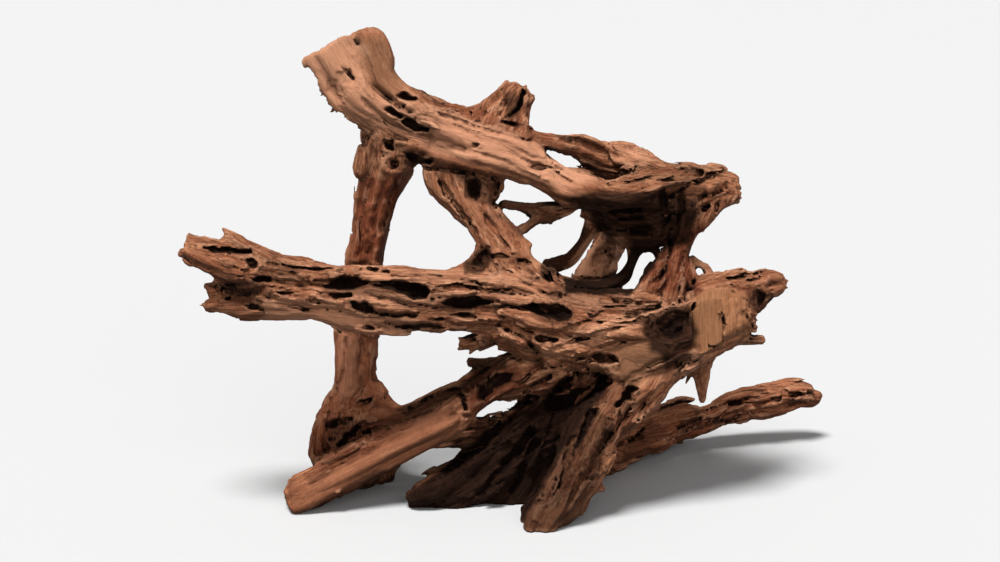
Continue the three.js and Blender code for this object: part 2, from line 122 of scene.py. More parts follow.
# The limbs: the node and how ragged the two ends are, and then the stations, each as across and down of
# one edge, across and down of the other, the depth of the middle, and half the thickness.
LIMBS = table("""
crown 0 0.5: 514,268,508,346,-48,30 536,272,530,358,-46,34 562,279,553,368,-44,40 592,286,588,376,-42,45
 625,290,624,384,-40,47 655,289,660,388,-38,46 684,287,690,374,-36,42 708,288,713,354,-34,37
 730,287,733,343,-32,30 751,298,752,331,-30,17
# The thorn that hangs down in front of the rear root.
crown 0 0: 682,352,718,350,-30,18 688,365,713,362,-30,12 694,378,710,376,-30,8 696,390,708,389,-30,6
 698,401,707,401,-30,5
# A short stick with a round end.
crown 0 0: 728,328,726,350,-28,10 742,331,741,347,-26,7 754,334,754,346,-24,5.5 763,334,763,346,-23,5.5
front_foot 0 0: 592,350,690,366,-46,38 586,380,675,386,-54,36 574,407,654,407,-66,33 560,434,630,433,-78,30
 551,456,618,458,-88,28 542,478,600,480,-97,27 529,502,586,502,-107,25 520,517,570,518,-113,22
 517,537,558,539,-121,19
front_foot 0 0.3: 578,474,576,494,-92,12 597,478,594,496,-90,8 606,487,604,493,-89,4
middle_limb 0 0: 264,252,258,316,-64,24 288,260,286,316,-64,27 318,264,318,319,-63,28 350,266,350,327,-62,28
 384,269,384,333,-60,29 418,269,418,336,-58,30 450,268,450,335,-56,31 482,268,484,341,-52,32
 512,268,514,348,-48,34 540,272,540,356,-46,36
# The limb's tip has split in two, with a splinter standing off the upper half.
middle_limb 0.9 0: 184,242,180,259,-68,12 190,236,189,266,-68,17 212,239,208,276,-68,21
 238,244,236,288,-67,24 268,254,266,298,-65,25 300,262,298,302,-64,26
middle_limb 0.9 0: 204,285,203,310,-58,12 215,281,214,314,-58,17 238,276,238,319,-60,21
 268,272,268,319,-62,24 300,270,300,319,-63,25
middle_limb 0.6 0: 222,228,226,238,-60,3 232,230,231,246,-61,5 248,239,246,256,-62,9 270,252,268,268,-63,12
# A tuft of splinters that hangs under the limb.
middle_limb 0 0.9: 510,332,508,347,-44,12 490,333,488,346,-42,10 472,336,472,350,-40,9 459,340,460,351,-39,5
right_horn 0 0.7: 700,280,714,336,-22,24 716,276,730,332,-19,23 732,273,744,326,-16,21
 750,269,758,318,-12,18 765,269,770,303,-8,16 776,269,778,299,-5,14 783,272,783,295,-4,11
front_left_root 0.2 0: 279,485,286,510,-69,14 289,477,301,518,-68,22 312,467,328,504,-64,25
 345,448,360,487,-58,26 380,432,394,468,-52,26 415,416,428,450,-48,25 448,398,458,434,-44,25
 474,380,482,416,-41,24 500,361,505,402,-40,25 524,346,528,396,-40,28 556,336,560,394,-42,30
# A short stick that stands off the root's upper end.
front_left_root 0 0.2: 514,357,512,371,-26,7 490,358,490,369,-24,6 468,358,468,367,-22,5
rear_foot 0 0.4: 572,340,634,374,-34,30 554,376,606,416,-34,32 530,402,572,446,-34,33 500,424,538,472,-36,33
 474,443,506,492,-42,31 452,460,474,508,-50,27 430,474,444,518,-60,21 413,487,418,519,-66,16
 405,492,407,514,-68,9
rear_foot 0 0: 560,400,600,420,-30,26 535,430,585,452,-32,27 508,458,560,482,-38,26 484,484,540,512,-44,22
 468,502,528,524,-47,16
lower_fork 0.3 0: 416,428,426,450,-40,13 440,420,446,452,-38,15 466,417,468,453,-34,17
 492,414,490,454,-28,19 516,407,512,452,-24,21 542,390,538,452,-22,26
left_foot 0 0: 330,397,385,396,8,23 317,412,400,409,8,29 305,432,408,430,8,34 305,456,402,450,8,36
 310,478,392,472,8,35 316,500,384,492,8,30
top_strand 0 0: 374,402,380,444,-4,20 402,403,406,436,-10,17 432,391,436,418,-15,15 462,380,466,404,-18,15
 488,368,494,398,-22,17 514,356,520,398,-28,20
upper_limb 0.25 0.6: 350,31,301,59,-14,9 362,52,312,76,-12,13 375,70,320,93,-9,18 390,86,334,109,-6,22
 406,96,354,124,-3,25 422,102,380,146,0,26 442,104,408,160,0,27 464,108,438,171,0,27 485,118,470,178,0,27
 508,125,500,183,-1,26 528,140,522,186,-3,23 548,155,540,191,-5,20 566,166,556,204,-5,20
 586,171,580,212,-4,21 608,177,605,214,-2,23 632,171,632,212,1,26 657,162,657,212,5,28 682,161,681,212,9,28
 706,163,704,210,12,26 724,167,723,206,14,21 738,180,737,202,15,12
# The round knob, grown against the limb's upper end.
upper_limb 0.3 0: 350,30,377,31,4,9 345,41,389,42,4,14 351,58,396,60,4,18 362,76,400,76,3,20
 377,93,412,88,2,21 395,109,428,97,0,21 414,122,446,106,0,20
left_post 0 0: 360,128,424,150,-2,20 361,148,416,162,0,21 357,168,408,178,2,20 353,194,399,196,4,18
 351,220,393,221,5,17 348,243,387,243,6,17 343,268,382,268,7,17 341,296,378,296,8,17 335,325,378,326,8,19
 334,352,377,352,8,20 334,376,376,376,8,21 330,393,386,391,8,24 322,406,394,402,8,27
# A flake of bark standing off the post.
left_post 0.3 0.3: 358,147,368,148,-6,7 355,158,369,158,-6,9 353,170,367,171,-6,9 354,175,363,175,-6,6
upper_stub 0 0.5: 466,122,534,132,4,20 474,110,535,120,7,19 484,101,535,110,10,17 492,94,537,101,12,15
 499,88,540,93,13,13
rear_fork 0 0: 500,124,504,160,6,18 522,127,524,149,14,15 545,131,546,152,20,12 565,132,564,157,27,12
 584,131,578,168,34,12 603,135,600,182,40,12 624,138,618,188,42,14 645,148,638,188,38,16
 666,161,660,192,30,17 690,165,686,196,20,17
centre_strut 0 0: 414,154,512,160,-4,22 418,174,513,179,-6,22 434,194,509,195,-10,21 449,210,504,208,-16,20
 460,221,509,220,-20,20 468,234,519,236,-25,20 471,249,530,251,-31,20 472,264,544,268,-38,22
 490,284,562,286,-44,22
# A dark twig that leaves the strut's foot.
centre_strut 0 0.2: 486,246,492,272,-32,9 473,253,479,270,-34,7 464,261,467,271,-37,5 455,269,458,276,-40,4
forked_twig 0 0: 600,192,606,210,2,12 578,198,582,212,2,10 556,203,562,218,1,8 536,209,545,223,0,7
 526,219,532,231,-5,6 514,230,520,238,-14,5 506,236,512,244,-20,4
forked_twig 0 0: 552,205,550,220,1,7 530,204,528,214,0,6 514,201,512,211,-1,5.5 502,200,503,208,-2,4.5
right_post 0 0: 664,184,739,194,12,25 665,202,728,207,12,24 665,219,714,221,12,21 666,236,701,238,11,17
 662,252,694,252,8,16 653,266,697,264,3,19 642,280,703,281,-6,24 630,296,706,298,-14,26
# Thin roots that stand off the post and leave two small loops.
right_post 0 0: 648,234,658,236,18,6 650,247,658,246,14,4 655,257,663,258,10,5 655,267,667,270,5,7
right_post 0 0: 684,252,686,272,4,7 697,258,695,269,4,6 710,265,702,272,2,6 716,278,703,279,-2,6
 721,292,702,290,-6,7
hanging_mass 0 0: 590,198,590,224,24,17 604,196,604,234,30,24 628,194,628,246,34,29 650,192,652,248,32,29
 676,190,678,238,24,24
rear_stump 0 0: 560,306,630,306,30,26 569,292,624,292,56,24 572,276,619,277,70,22 579,258,620,259,76,20
 588,244,627,246,74,19 600,232,624,233,64,18 604,220,626,220,52,17
slender_root 0.3 0: 543,259,548,272,18,7 554,258,561,271,24,7 566,252,575,264,29,7 577,239,587,248,33,8
 585,225,598,233,36,9 592,212,606,219,36,10
bent_root 0 0: 626,238,651,241,28,14 628,252,642,254,26,9 626,263,637,264,20,8 616,274,628,283,12,9
 600,279,604,295,2,10 580,279,580,296,-6,10 562,274,558,291,-14,10 549,266,544,280,-22,8
rear_right_root 0 0.5: 548,380,552,440,-22,28 574,398,580,470,14,31 600,412,604,476,42,31
 622,416,626,464,58,29 650,409,654,455,80,26 678,399,682,447,96,23 706,403,708,434,106,20
 736,388,738,427,113,18 766,383,768,421,119,17 794,382,796,413,124,14 812,387,813,409,127,11
 820,391,820,401,128,6
""")


def catmull(points, t):
    """Points of a Catmull-Rom curve through the given points, at parameters t from 0 to 1."""
    last = len(points) - 1
    padded = np.vstack([2 * points[0] - points[1], points, 2 * points[-1] - points[-2]])
    i = np.clip((t * last).astype(int), 0, last - 1)
    f = (t * last - i)[:, None]
    p0, p1, p2, p3 = padded[i], padded[i + 1], padded[i + 2], padded[i + 3]
    m1, m2 = (p2 - p0) / 2, (p3 - p1) / 2
    return p1 + f * (m1 + f * (3 * (p2 - p1) - 2 * m1 - m2 + f * (2 * (p1 - p2) + m1 + m2)))


def unit(vectors):
    """The vectors, each made 1 long."""
    return vectors / np.linalg.norm(vectors, axis=-1, keepdims=True)


def smooth(x):
    """A soft step from 0 to 1 while x goes from 0 to 1."""
    x = np.clip(x, 0, 1)
    return x * x * (3 - 2 * x)


def soft_min(x, y, k):
    """The smaller of x and y, rounded off where they differ by less than k."""
    h = np.clip(0.5 + 0.5 * (y - x) / k, 0, 1)
    return y + (x - y) * h - k * h * (1 - h)


def soft_max(x, y, k):
    """The larger of x and y, rounded off in the same way."""
    return -soft_min(-x, -y, k)


NOISE_BITS = 6
NOISE_SIDE = 1 << NOISE_BITS
NOISE_TABLE = np.random.default_rng(7).random(NOISE_SIDE**3, dtype=np.float32)


def noise(x, y, z):
    """Smooth noise from 0 to 1 with cells of side 1."""
    x, y, z = np.broadcast_arrays(x, y, z)
    whole = [np.floor(c).astype(np.int32) for c in (x, y, z)]
    fx, fy, fz = (f * f * (3 - 2 * f) for f in (c - w for c, w in zip((x, y, z), whole)))
    mask = NOISE_SIDE - 1
    x0, x1 = (whole[0] & mask) << (2 * NOISE_BITS), ((whole[0] + 1) & mask) << (2 * NOISE_BITS)
    y0, y1 = (whole[1] & mask) << NOISE_BITS, ((whole[1] + 1) & mask) << NOISE_BITS
    z0, z1 = whole[2] & mask, (whole[2] + 1) & mask
    take = NOISE_TABLE.take
    low = take(x0 | y0 | z0) * (1 - fx) + take(x1 | y0 | z0) * fx
    low = low * (1 - fy) + (take(x0 | y1 | z0) * (1 - fx) + take(x1 | y1 | z0) * fx) * fy
    high = take(x0 | y0 | z1) * (1 - fx) + take(x1 | y0 | z1) * fx
    high = high * (1 - fy) + (take(x0 | y1 | z1) * (1 - fx) + take(x1 | y1 | z1) * fx) * fy
    return low * (1 - fz) + high * fz


# The field holds the distance to the wood, in mm, no further than this.
REACH = 8.0
TABLE_STEP = 2.0
SAMPLES_PER_STATION = 24
# The first guess of a point's place on a limb is taken at steps of this length, in mm, and is then
# corrected a few times.
GUESS_STEP = 6
GUESS_ROUNDS = 3
LEAST_RADIUS = 1.5
# The flutes stand out to this share of the plain oval's radius.
FLUTED = 1.15
# A limb's ends are shaped within this distance of them, in mm. A smooth end is domed more.
END_REACH = 25
CAP_RISE = 0.25
SMOOTH_CAP_RISE = 0.35
RAGGED_FROM = 0.1
# A ragged end's coarse and fine cells, in mm, its noise's level, and how far it is cut back.
TIP_CELL = 3.6
FINE_TIP_CELL = 1.8
TIP_LEVEL = 0.9
TIP_CUT = 0.8
END_SOFTNESS = 2.5
# Columns of a limb's table.
MIDDLE, TANGENT, SIDE, AWAY = slice(0, 3), slice(3, 6), slice(6, 9), slice(9, 12)
WIDTH, THICK, RUN = 12, 13, 14
# Limbs thinner than this, in mm, have less relief, but never less than the least share of it.
FULL_RELIEF_RADIUS = 17.0
LEAST_RELIEF = 0.15
# Only the wood nearer to the surface than this, in mm, has relief.
RELIEF_DEPTH = 14.0
# Each limb's noise is shifted from the last limb's by this.
LIMB_SHIFT = 3.7
# Layers of the relief: its height, and its cells' length along the grain and width across it, in mm.
SWAY = (11, 37, 24)
WOBBLE = (3.5, 15, 9)
PATCHES = (1, 40, 26)
LUMPS = (3.0, 30, 14)
FURROWS = (3.1, 58, 11)
FIBRES = (1.5, 30, 4.4)
CRUMBS = (1.1, 4.1, 3.1)
BEDS = (2.5, 62, 14)
BEDS_COUNT = 5
SLITS = (5.0, 95, 13)
ROT = (1, 48, 22)
# Where a bed's edge begins and how far it goes, as shares of the bed, the same for the rot that has slits,
# and half the width of a slit, as a difference of the noise.
BED_EDGE_FROM = 0.8
BED_EDGE_OVER = 0.2
ROT_FROM = 0.55
ROT_OVER = 0.16
SLIT_WIDTH = 0.13


class Limb:
    """A sweep through stations. Its own coordinates are s along it and a and b across it, in mm."""

    def __init__(self, index, node, ragged_start, ragged_end, stations):
        self.index, self.node, self.ends = index, node, (ragged_start, ragged_end)
        st = np.array(stations, float)
        middles = at((st[:, 0] + st[:, 2]) / 2, (st[:, 1] + st[:, 3]) / 2, st[:, 4])
        edges = (at(st[:, 2], st[:, 3], st[:, 4]) - at(st[:, 0], st[:, 1], st[:, 4])) / 2
        t = np.linspace(0, 1, SAMPLES_PER_STATION * (len(st) - 1) + 1)
        centre = catmull(middles, t)
        edge = catmull(edges, t)
        thick = np.maximum(LEAST_RADIUS, catmull(st[:, 5:6], t))
        steps = np.linalg.norm(np.diff(centre, axis=0), axis=1)
        along = np.concatenate([[0], np.cumsum(steps)])
        tangent = unit(np.gradient(centre, axis=0))
        edge = edge - tangent * (edge * tangent).sum(1, keepdims=True)
        width = np.maximum(LEAST_RADIUS, np.linalg.norm(edge, axis=1, keepdims=True))
        side = unit(edge)
        away = np.cross(tangent, side)
        self.length = along[-1]
        rows = np.hstack([centre, tangent, side, away, width, thick, t[:, None] * self.length])
        count = max(3, round(self.length / TABLE_STEP) + 1)
        where = np.linspace(0, self.length, count)
        self.step = where[1]
        self.table = np.stack([np.interp(where, along, c) for c in rows.T], 1).astype(np.float32)
        self.radius = max(width.max(), thick.max())
        self.low = centre.min(0) - self.radius * FLUTED - REACH
        self.high = centre.max(0) + self.radius * FLUTED + REACH

    def rows(self, s, columns):
        """Columns of the limb's table at s, read between its rows."""
        x = np.clip(s / self.step, 0, len(self.table) - 1.001)
        i = x.astype(np.int32)
        f = (x - i)[:, None]
        table = self.table[:, columns]
        return table[i] + (table[i + 1] - table[i]) * f

    def nearest(self, points):
        """A first guess of s for each point, and how far the point is past the limb's radius there."""
        every = max(1, round(GUESS_STEP / self.step))
        samples = self.table[::every]
        best = np.full(len(points), NOWHERE, np.float32)
        where = np.zeros(len(points), np.int32)
        for i, row in enumerate(samples):
            gap = np.linalg.norm(points - row[MIDDLE], axis=1)
            closer = gap < best
            best[closer] = gap[closer]
            where[closer] = i
        radius = np.maximum(samples[where, WIDTH], samples[where, THICK]) * FLUTED
        return where * every * self.step, best - radius

    def coordinates(self, points, s):
        """The points' coordinates s, a and b, and there the limb's half width, half thickness and run."""
        for _ in range(GUESS_ROUNDS):
            row = self.rows(s, slice(0, TANGENT.stop))
            s = np.clip(s, 0, self.length) + ((points - row[:, MIDDLE]) * row[:, TANGENT]).sum(1)
        row = self.rows(s, slice(0, RUN + 1))
        rel = points - row[:, MIDDLE]
        a = (rel * row[:, SIDE]).sum(1)
        b = (rel * row[:, AWAY]).sum(1)
        return s, a, b, row[:, WIDTH], row[:, THICK], row[:, RUN]

    def field(self, points, s, grain=False):
        """Distance to the plain limb, its relief from grain and rot, and the limb's coordinates."""
        s, a, b, width, thick, along = self.coordinates(points, s)
        x, y = a / width, b / thick
        rho = np.sqrt(x * x + y * y) + 1e-6
        slope = np.sqrt((x / width) ** 2 + (y / thick) ** 2) + 1e-6
        angle = np.arctan2(y, x)
        d = (rho - 1 - flutes(angle, along, self.index)) * rho / slope
        for end, past in ((0, -s), (1, s - self.length)):
            near = past > -END_REACH
            if not near.any():
                continue
            ragged = self.ends[end] * thick[near]
            tips = noise(a[near] / TIP_CELL + 9, b[near] / TIP_CELL + end * 5, self.index)
            fine_tips = noise(a[near] / FINE_TIP_CELL, b[near] / FINE_TIP_CELL, end * 7)
            tips = tips + 0.5 * fine_tips - TIP_LEVEL
            rise = CAP_RISE + SMOOTH_CAP_RISE * (self.ends[end] < RAGGED_FROM)
            dome = rise * thick[near] * (1 - 0.7 * np.minimum(1, rho[near]) ** 2)
            d[near] = soft_max(d[near], past[near] - dome - ragged * tips * TIP_CUT, END_SOFTNESS)
        if not grain:
            return d, 0, s, a, b
        share = np.clip(np.minimum(width, thick) / FULL_RELIEF_RADIUS, LEAST_RELIEF, 1)
        return d, share * self.relief(s, a, b, d), s, a, b

    def relief(self, s, a, b, d):
        """How far grain, cracks, ledges and pits lower the surface, in mm."""
        out = np.zeros_like(d)
        near = np.abs(d) < RELIEF_DEPTH
        s, a, b = s[near], a[near], b[near]

        def cells(layer, shift):
            _, length, width = layer
            return noise(s / length + shift, a / width, b / width - shift)

        k = self.index * LIMB_SHIFT
        sway = SWAY[0] * (cells(SWAY, k) - 0.5)
        wobble = WOBBLE[0] * (cells(WOBBLE, -k) - 0.5)
        a, b = a + sway + wobble, b - sway + wobble
        patch = cells(PATCHES, 3 * k)
        furrow = np.abs(2 * cells(FURROWS, k) - 1)
        fibre = np.abs(2 * cells(FIBRES, -k) - 1)
        beds = cells(BEDS, k + 31) * BEDS_COUNT
        step = beds - np.floor(beds)
        beds = np.floor(beds) + smooth((step - BED_EDGE_FROM) / BED_EDGE_OVER)
        slit = np.abs(cells(SLITS, k + 5) - 0.5)
        lowered = LUMPS[0] * (0.5 - cells(LUMPS, k))
        lowered = lowered + FURROWS[0] * (1 - smooth(furrow * 2.4)) * smooth(patch * 2.4 - 0.3)
        lowered = lowered + FIBRES[0] * (1 - np.minimum(1, fibre * 2)) * smooth(1.8 - 2 * patch)
        lowered = lowered + BEDS[0] * (beds - BEDS_COUNT / 2 + 0.3)
        lowered = lowered + CRUMBS[0] * (0.5 - cells(CRUMBS, k)) * smooth((0.62 - patch) * 4)
        rot = smooth((cells(ROT, k + 11) - ROT_FROM) / ROT_OVER)
        lowered = lowered + SLITS[0] * rot * (1 - smooth(slit / SLIT_WIDTH))
        out[near] = lowered
        return out


def flutes(angle, along, seed):
    """How far the wood stands out of a plain oval, as a share of its radius. The solids have the same."""
    rounded = np.abs(np.sin(2.5 * angle + along / 90 + seed)) - 0.8
    ledges = np.abs(np.sin(3.5 * angle - along / 70 + 2.3 * seed)) - 0.8
    lumps = np.sin(along / 14 + 3 * seed + 2 * np.sin(angle + seed))
    bulges = np.sin(along / 33 - 2 * angle + seed)
    return 0.15 * rounded + 0.1 * ledges + 0.035 * lumps + 0.04 * bulges


# The field is kept in blocks of cells, and only blocks near a limb are worked out.
BLOCK = 8
BLOCKS_AT_ONCE = 400
FIELD_MARGIN = 12
# Half the diagonal of a block, as a share of its side.
HALF_DIAGONAL = 0.87
FORK_SOFTNESS = 9.0
SPLINTER_SOFTNESS = 2.0
VOXEL = 1.5
PLAIN_VOXEL = 3.0
WORKERS = 4
# The map of the near side has a ray at every second place of the sheet, and looks this far each way.
SHEET_STEP = 2
NEAR_DEPTH = 200.0
RAY_STEP = 2.0
VERY_FAR = 1e6
# Limbs further apart than this, in mm, have an outline between them, and the near side is spread over
# this many cells around an outline.
LIMB_GAP = 12
OUTLINE_MARGIN = 4
# What lies further than this behind the near side, in mm, is out of the sheet's relief and paint.
NEAR_BAND = 25.0
NEAR_BAND_FADE = 8
# Only blocks with some wood nearer to the surface than these distances, in mm, are carved.
CARVED_OUTSIDE = 4
CARVED_INSIDE = -20
# Hollows shallower than this, in mm, aren't cut. The others have walls of this slope.
LEAST_CUT = 0.3
WALL_SLOPE = 0.8
CUT_SOFTNESS = 1.2
# Ridges and cracks fade out over this distance behind the near side, in mm, and cracks from this depth.
RELIEF_FADE = 12
CRACK_DEPTH = 10

limbs = [Limb(i, *row) for i, row in enumerate(LIMBS)]


class Field:
    """Distances to the wood in a box of cells, in mm, negative inside."""

    def __init__(self, voxel):
        self.voxel = voxel
        low, high = (METRE * np.array(corner) for corner in cad_box)
        self.low = low - FIELD_MARGIN
        self.blocks = np.ceil((high + FIELD_MARGIN - self.low) / (voxel * BLOCK)).astype(int)
        self.size = self.blocks * BLOCK
        self.values = np.full(self.size, REACH, np.float32)
        n = self.blocks
        self.by_block = self.values.reshape(n[0], BLOCK, n[1], BLOCK, n[2], BLOCK)
        inner = np.stack(np.meshgrid(*[np.arange(BLOCK)] * 3, indexing="ij"), -1).reshape(-1, 3)
        self.inner = (inner * voxel).astype(np.float32)

    def points_of(self, which):
        """The middles of the cells of some blocks."""
        corner = (self.low + which * self.voxel * BLOCK).astype(np.float32)
        return corner[:, None] + self.inner[None]

    def each_chunk(self, work, count):
        """Does the work for some blocks at a time."""
        with ThreadPoolExecutor(WORKERS) as pool:
            starts = range(0, count, BLOCKS_AT_ONCE)
            list(pool.map(work, [slice(i, i + BLOCKS_AT_ONCE) for i in starts]))

    def blocks_in(self, low, high):
        """The blocks that reach into a box."""
        side = self.voxel * BLOCK
        first = np.maximum(0, ((low - self.low) / side).astype(int))
        last = np.minimum(self.blocks, ((high - self.low) / side).astype(int) + 1)
        spans = [np.arange(a, b) for a, b in zip(first, last)]
        return np.stack(np.meshgrid(*spans, indexing="ij"), -1).reshape(-1, 3)

    def add_limb(self, limb, grain=False, sheet=None):
        """Joins a limb to the wood, softly. With grain it has its relief where the sheet isn't calm."""
        side = self.voxel * BLOCK
        index = self.blocks_in(limb.low, limb.high)
        s, gap = limb.nearest((self.low + (index + 0.5) * side).astype(np.float32))
        near = gap < side * HALF_DIAGONAL + REACH
        index, s = index[near], s[near]

        def work(part):
            which = index[part]
            points = self.points_of(which).reshape(-1, 3)
            start = np.repeat(s[part], BLOCK**3).astype(np.float32)
            d, lowered, *_ = limb.field(points, start, grain)
            if grain:
                lowered = lowered * (1 - sheet.on_near_side(points, sheet.calm))
            d = (d + lowered).reshape(-1, BLOCK, BLOCK, BLOCK)
            i, j, k = which.T
            old = self.by_block[i, :, j, :, k, :]
            self.by_block[i, :, j, :, k, :] = soft_min(old, d, FORK_SOFTNESS)

        self.each_chunk(work, len(index))

    def add_splinter(self, root, tip, thick_root, thick_tip):
        """Adds a small round spike of wood between two points."""
        margin = thick_root + REACH
        index = self.blocks_in(np.minimum(root, tip) - margin, np.maximum(root, tip) + margin)
        points = self.points_of(index)
        line = tip - root
        t = np.clip(((points - root) @ line) / (line @ line), 0, 1)
        gap = np.linalg.norm(points - root - t[..., None] * line, axis=-1)
        d = gap - (thick_root + (thick_tip - thick_root) * t)
        i, j, k = index.T
        old = self.by_block[i, :, j, :, k, :]
        d = d.reshape(old.shape).astype(np.float32)
        self.by_block[i, :, j, :, k, :] = soft_min(old, d, SPLINTER_SOFTNESS)

    def sample(self, points):
        """The field at points, read from the nearest cell."""
        index = np.rint((points - self.low) / self.voxel).astype(np.int32)
        inside = ((index >= 0) & (index < self.size)).all(-1)
        index = np.where(inside[..., None], index, 0)
        return np.where(inside, self.values[index[..., 0], index[..., 1], index[..., 2]], REACH)

    def between(self, points):
        """The field at points, read between the cells around each."""
        place = (points - self.low) / self.voxel
        whole = np.clip(np.floor(place).astype(np.int32), 0, self.size - 2)
        share = np.clip(place - whole, 0, 1).astype(np.float32)
        total = 0
        for corner in np.ndindex(2, 2, 2):
            weight = np.where(corner, share, 1 - share).prod(-1)
            i, j, k = (whole + corner).T
            total = total + weight * self.values[i, j, k]
        return total

    def near_side(self):
        """How far from the eye the wood begins, over the sheet. Where there is none it is very far."""
        down, across = np.mgrid[0 : SHEET_SIZE[1] : SHEET_STEP, 0 : SHEET_SIZE[0] : SHEET_STEP]
        near, deep = at(across, down, -NEAR_DEPTH), at(across, down, NEAR_DEPTH)
        ray = unit(deep - near).astype(np.float32)
        near = near.astype(np.float32)
        far = np.full(across.shape, VERY_FAR, np.float32)
        for step in np.arange(0, 2 * NEAR_DEPTH, RAY_STEP, dtype=np.float32):
            waiting = far == VERY_FAR
            hit = self.sample(near[waiting] + ray[waiting] * step) < 0
            far[waiting] = np.where(hit, step, VERY_FAR)
        return (far * (ray @ EYE_FORWARD) + on_sheet(near)[2]).astype(np.float32)

    def carve(self, sheet):
        """Cuts the sheet's relief into the side that the eye sees, and raises its ridges."""
        lowest = self.by_block.min((1, 3, 5))
        highest = self.by_block.max((1, 3, 5))
        which = np.argwhere((lowest < CARVED_OUTSIDE) & (highest > CARVED_INSIDE))

        def work(part):
            i, j, k = which[part].T
            behind, place = sheet.behind(self.points_of(which[part]))
            deep = sheet.cut[place]
            old = self.by_block[i, :, j, :, k, :]
            d = old.reshape(behind.shape)
            hollow = np.where(deep > LEAST_CUT, (deep - behind) * WALL_SLOPE, -REACH)
            raised = sheet.proud[place] * (1 - smooth(np.abs(behind) / RELIEF_FADE))
            lowered = sheet.lowered[place] * (1 - smooth((behind - CRACK_DEPTH) / RELIEF_FADE))
            d = soft_max(d + lowered - raised, hollow, CUT_SOFTNESS)
            self.by_block[i, :, j, :, k, :] = d.reshape(old.shape)

        self.each_chunk(work, len(which))

    def skin(self):
        """The surface as points in mm and quads."""
        level = self.low[2] + np.arange(self.size[2]) * self.voxel
        np.maximum(self.values, -level.astype(np.float32), out=self.values)
        grid = openvdb.FloatGrid(REACH)
        grid.copyFromArray(self.values, tolerance=0.0)
        points, quads = grid.convertToQuads()
        return self.low + points * self.voxel, quads


def nearest_at_edges(far):
    """The depths with the nearer one spread by one cell where two limbs lie far apart, and by more
    where there is nothing behind a limb."""
    rows, columns = far.shape
    for times in range(OUTLINE_MARGIN):
        padded = np.pad(far, 1, mode="edge")
        around = np.stack([padded[i : i + rows, j : j + columns] for i in range(3) for j in range(3)])
        nearest, farthest = around.min(0), around.max(0)
        spread = far == VERY_FAR if times else farthest - nearest > LIMB_GAP
        far = np.where(spread, nearest, far)
    return far


class Sheet:
    """The near side's own relief and paint, as maps over the sheet."""

    def __init__(self, near_side):
        self.near_side = np.repeat(np.repeat(near_side, SHEET_STEP, 0), SHEET_STEP, 1)

    def behind(self, points):
        """How far each point lies behind the near side, and its place on the maps."""
        across, down, far = on_sheet(points)
        u = np.clip(np.rint(across).astype(int), 0, SHEET_SIZE[0] - 1)
        v = np.clip(np.rint(down).astype(int), 0, SHEET_SIZE[1] - 1)
        near = self.near_side[v, u]
        return np.where(near < VERY_FAR, far - near, VERY_FAR), (v, u)

    def on_near_side(self, points, values, band=NEAR_BAND):
        """A map's values at points on the near side, fading to nothing behind it."""
        behind, place = self.behind(points)
        return values[place] * (1 - smooth((behind - band + NEAR_BAND_FADE) / NEAR_BAND_FADE))


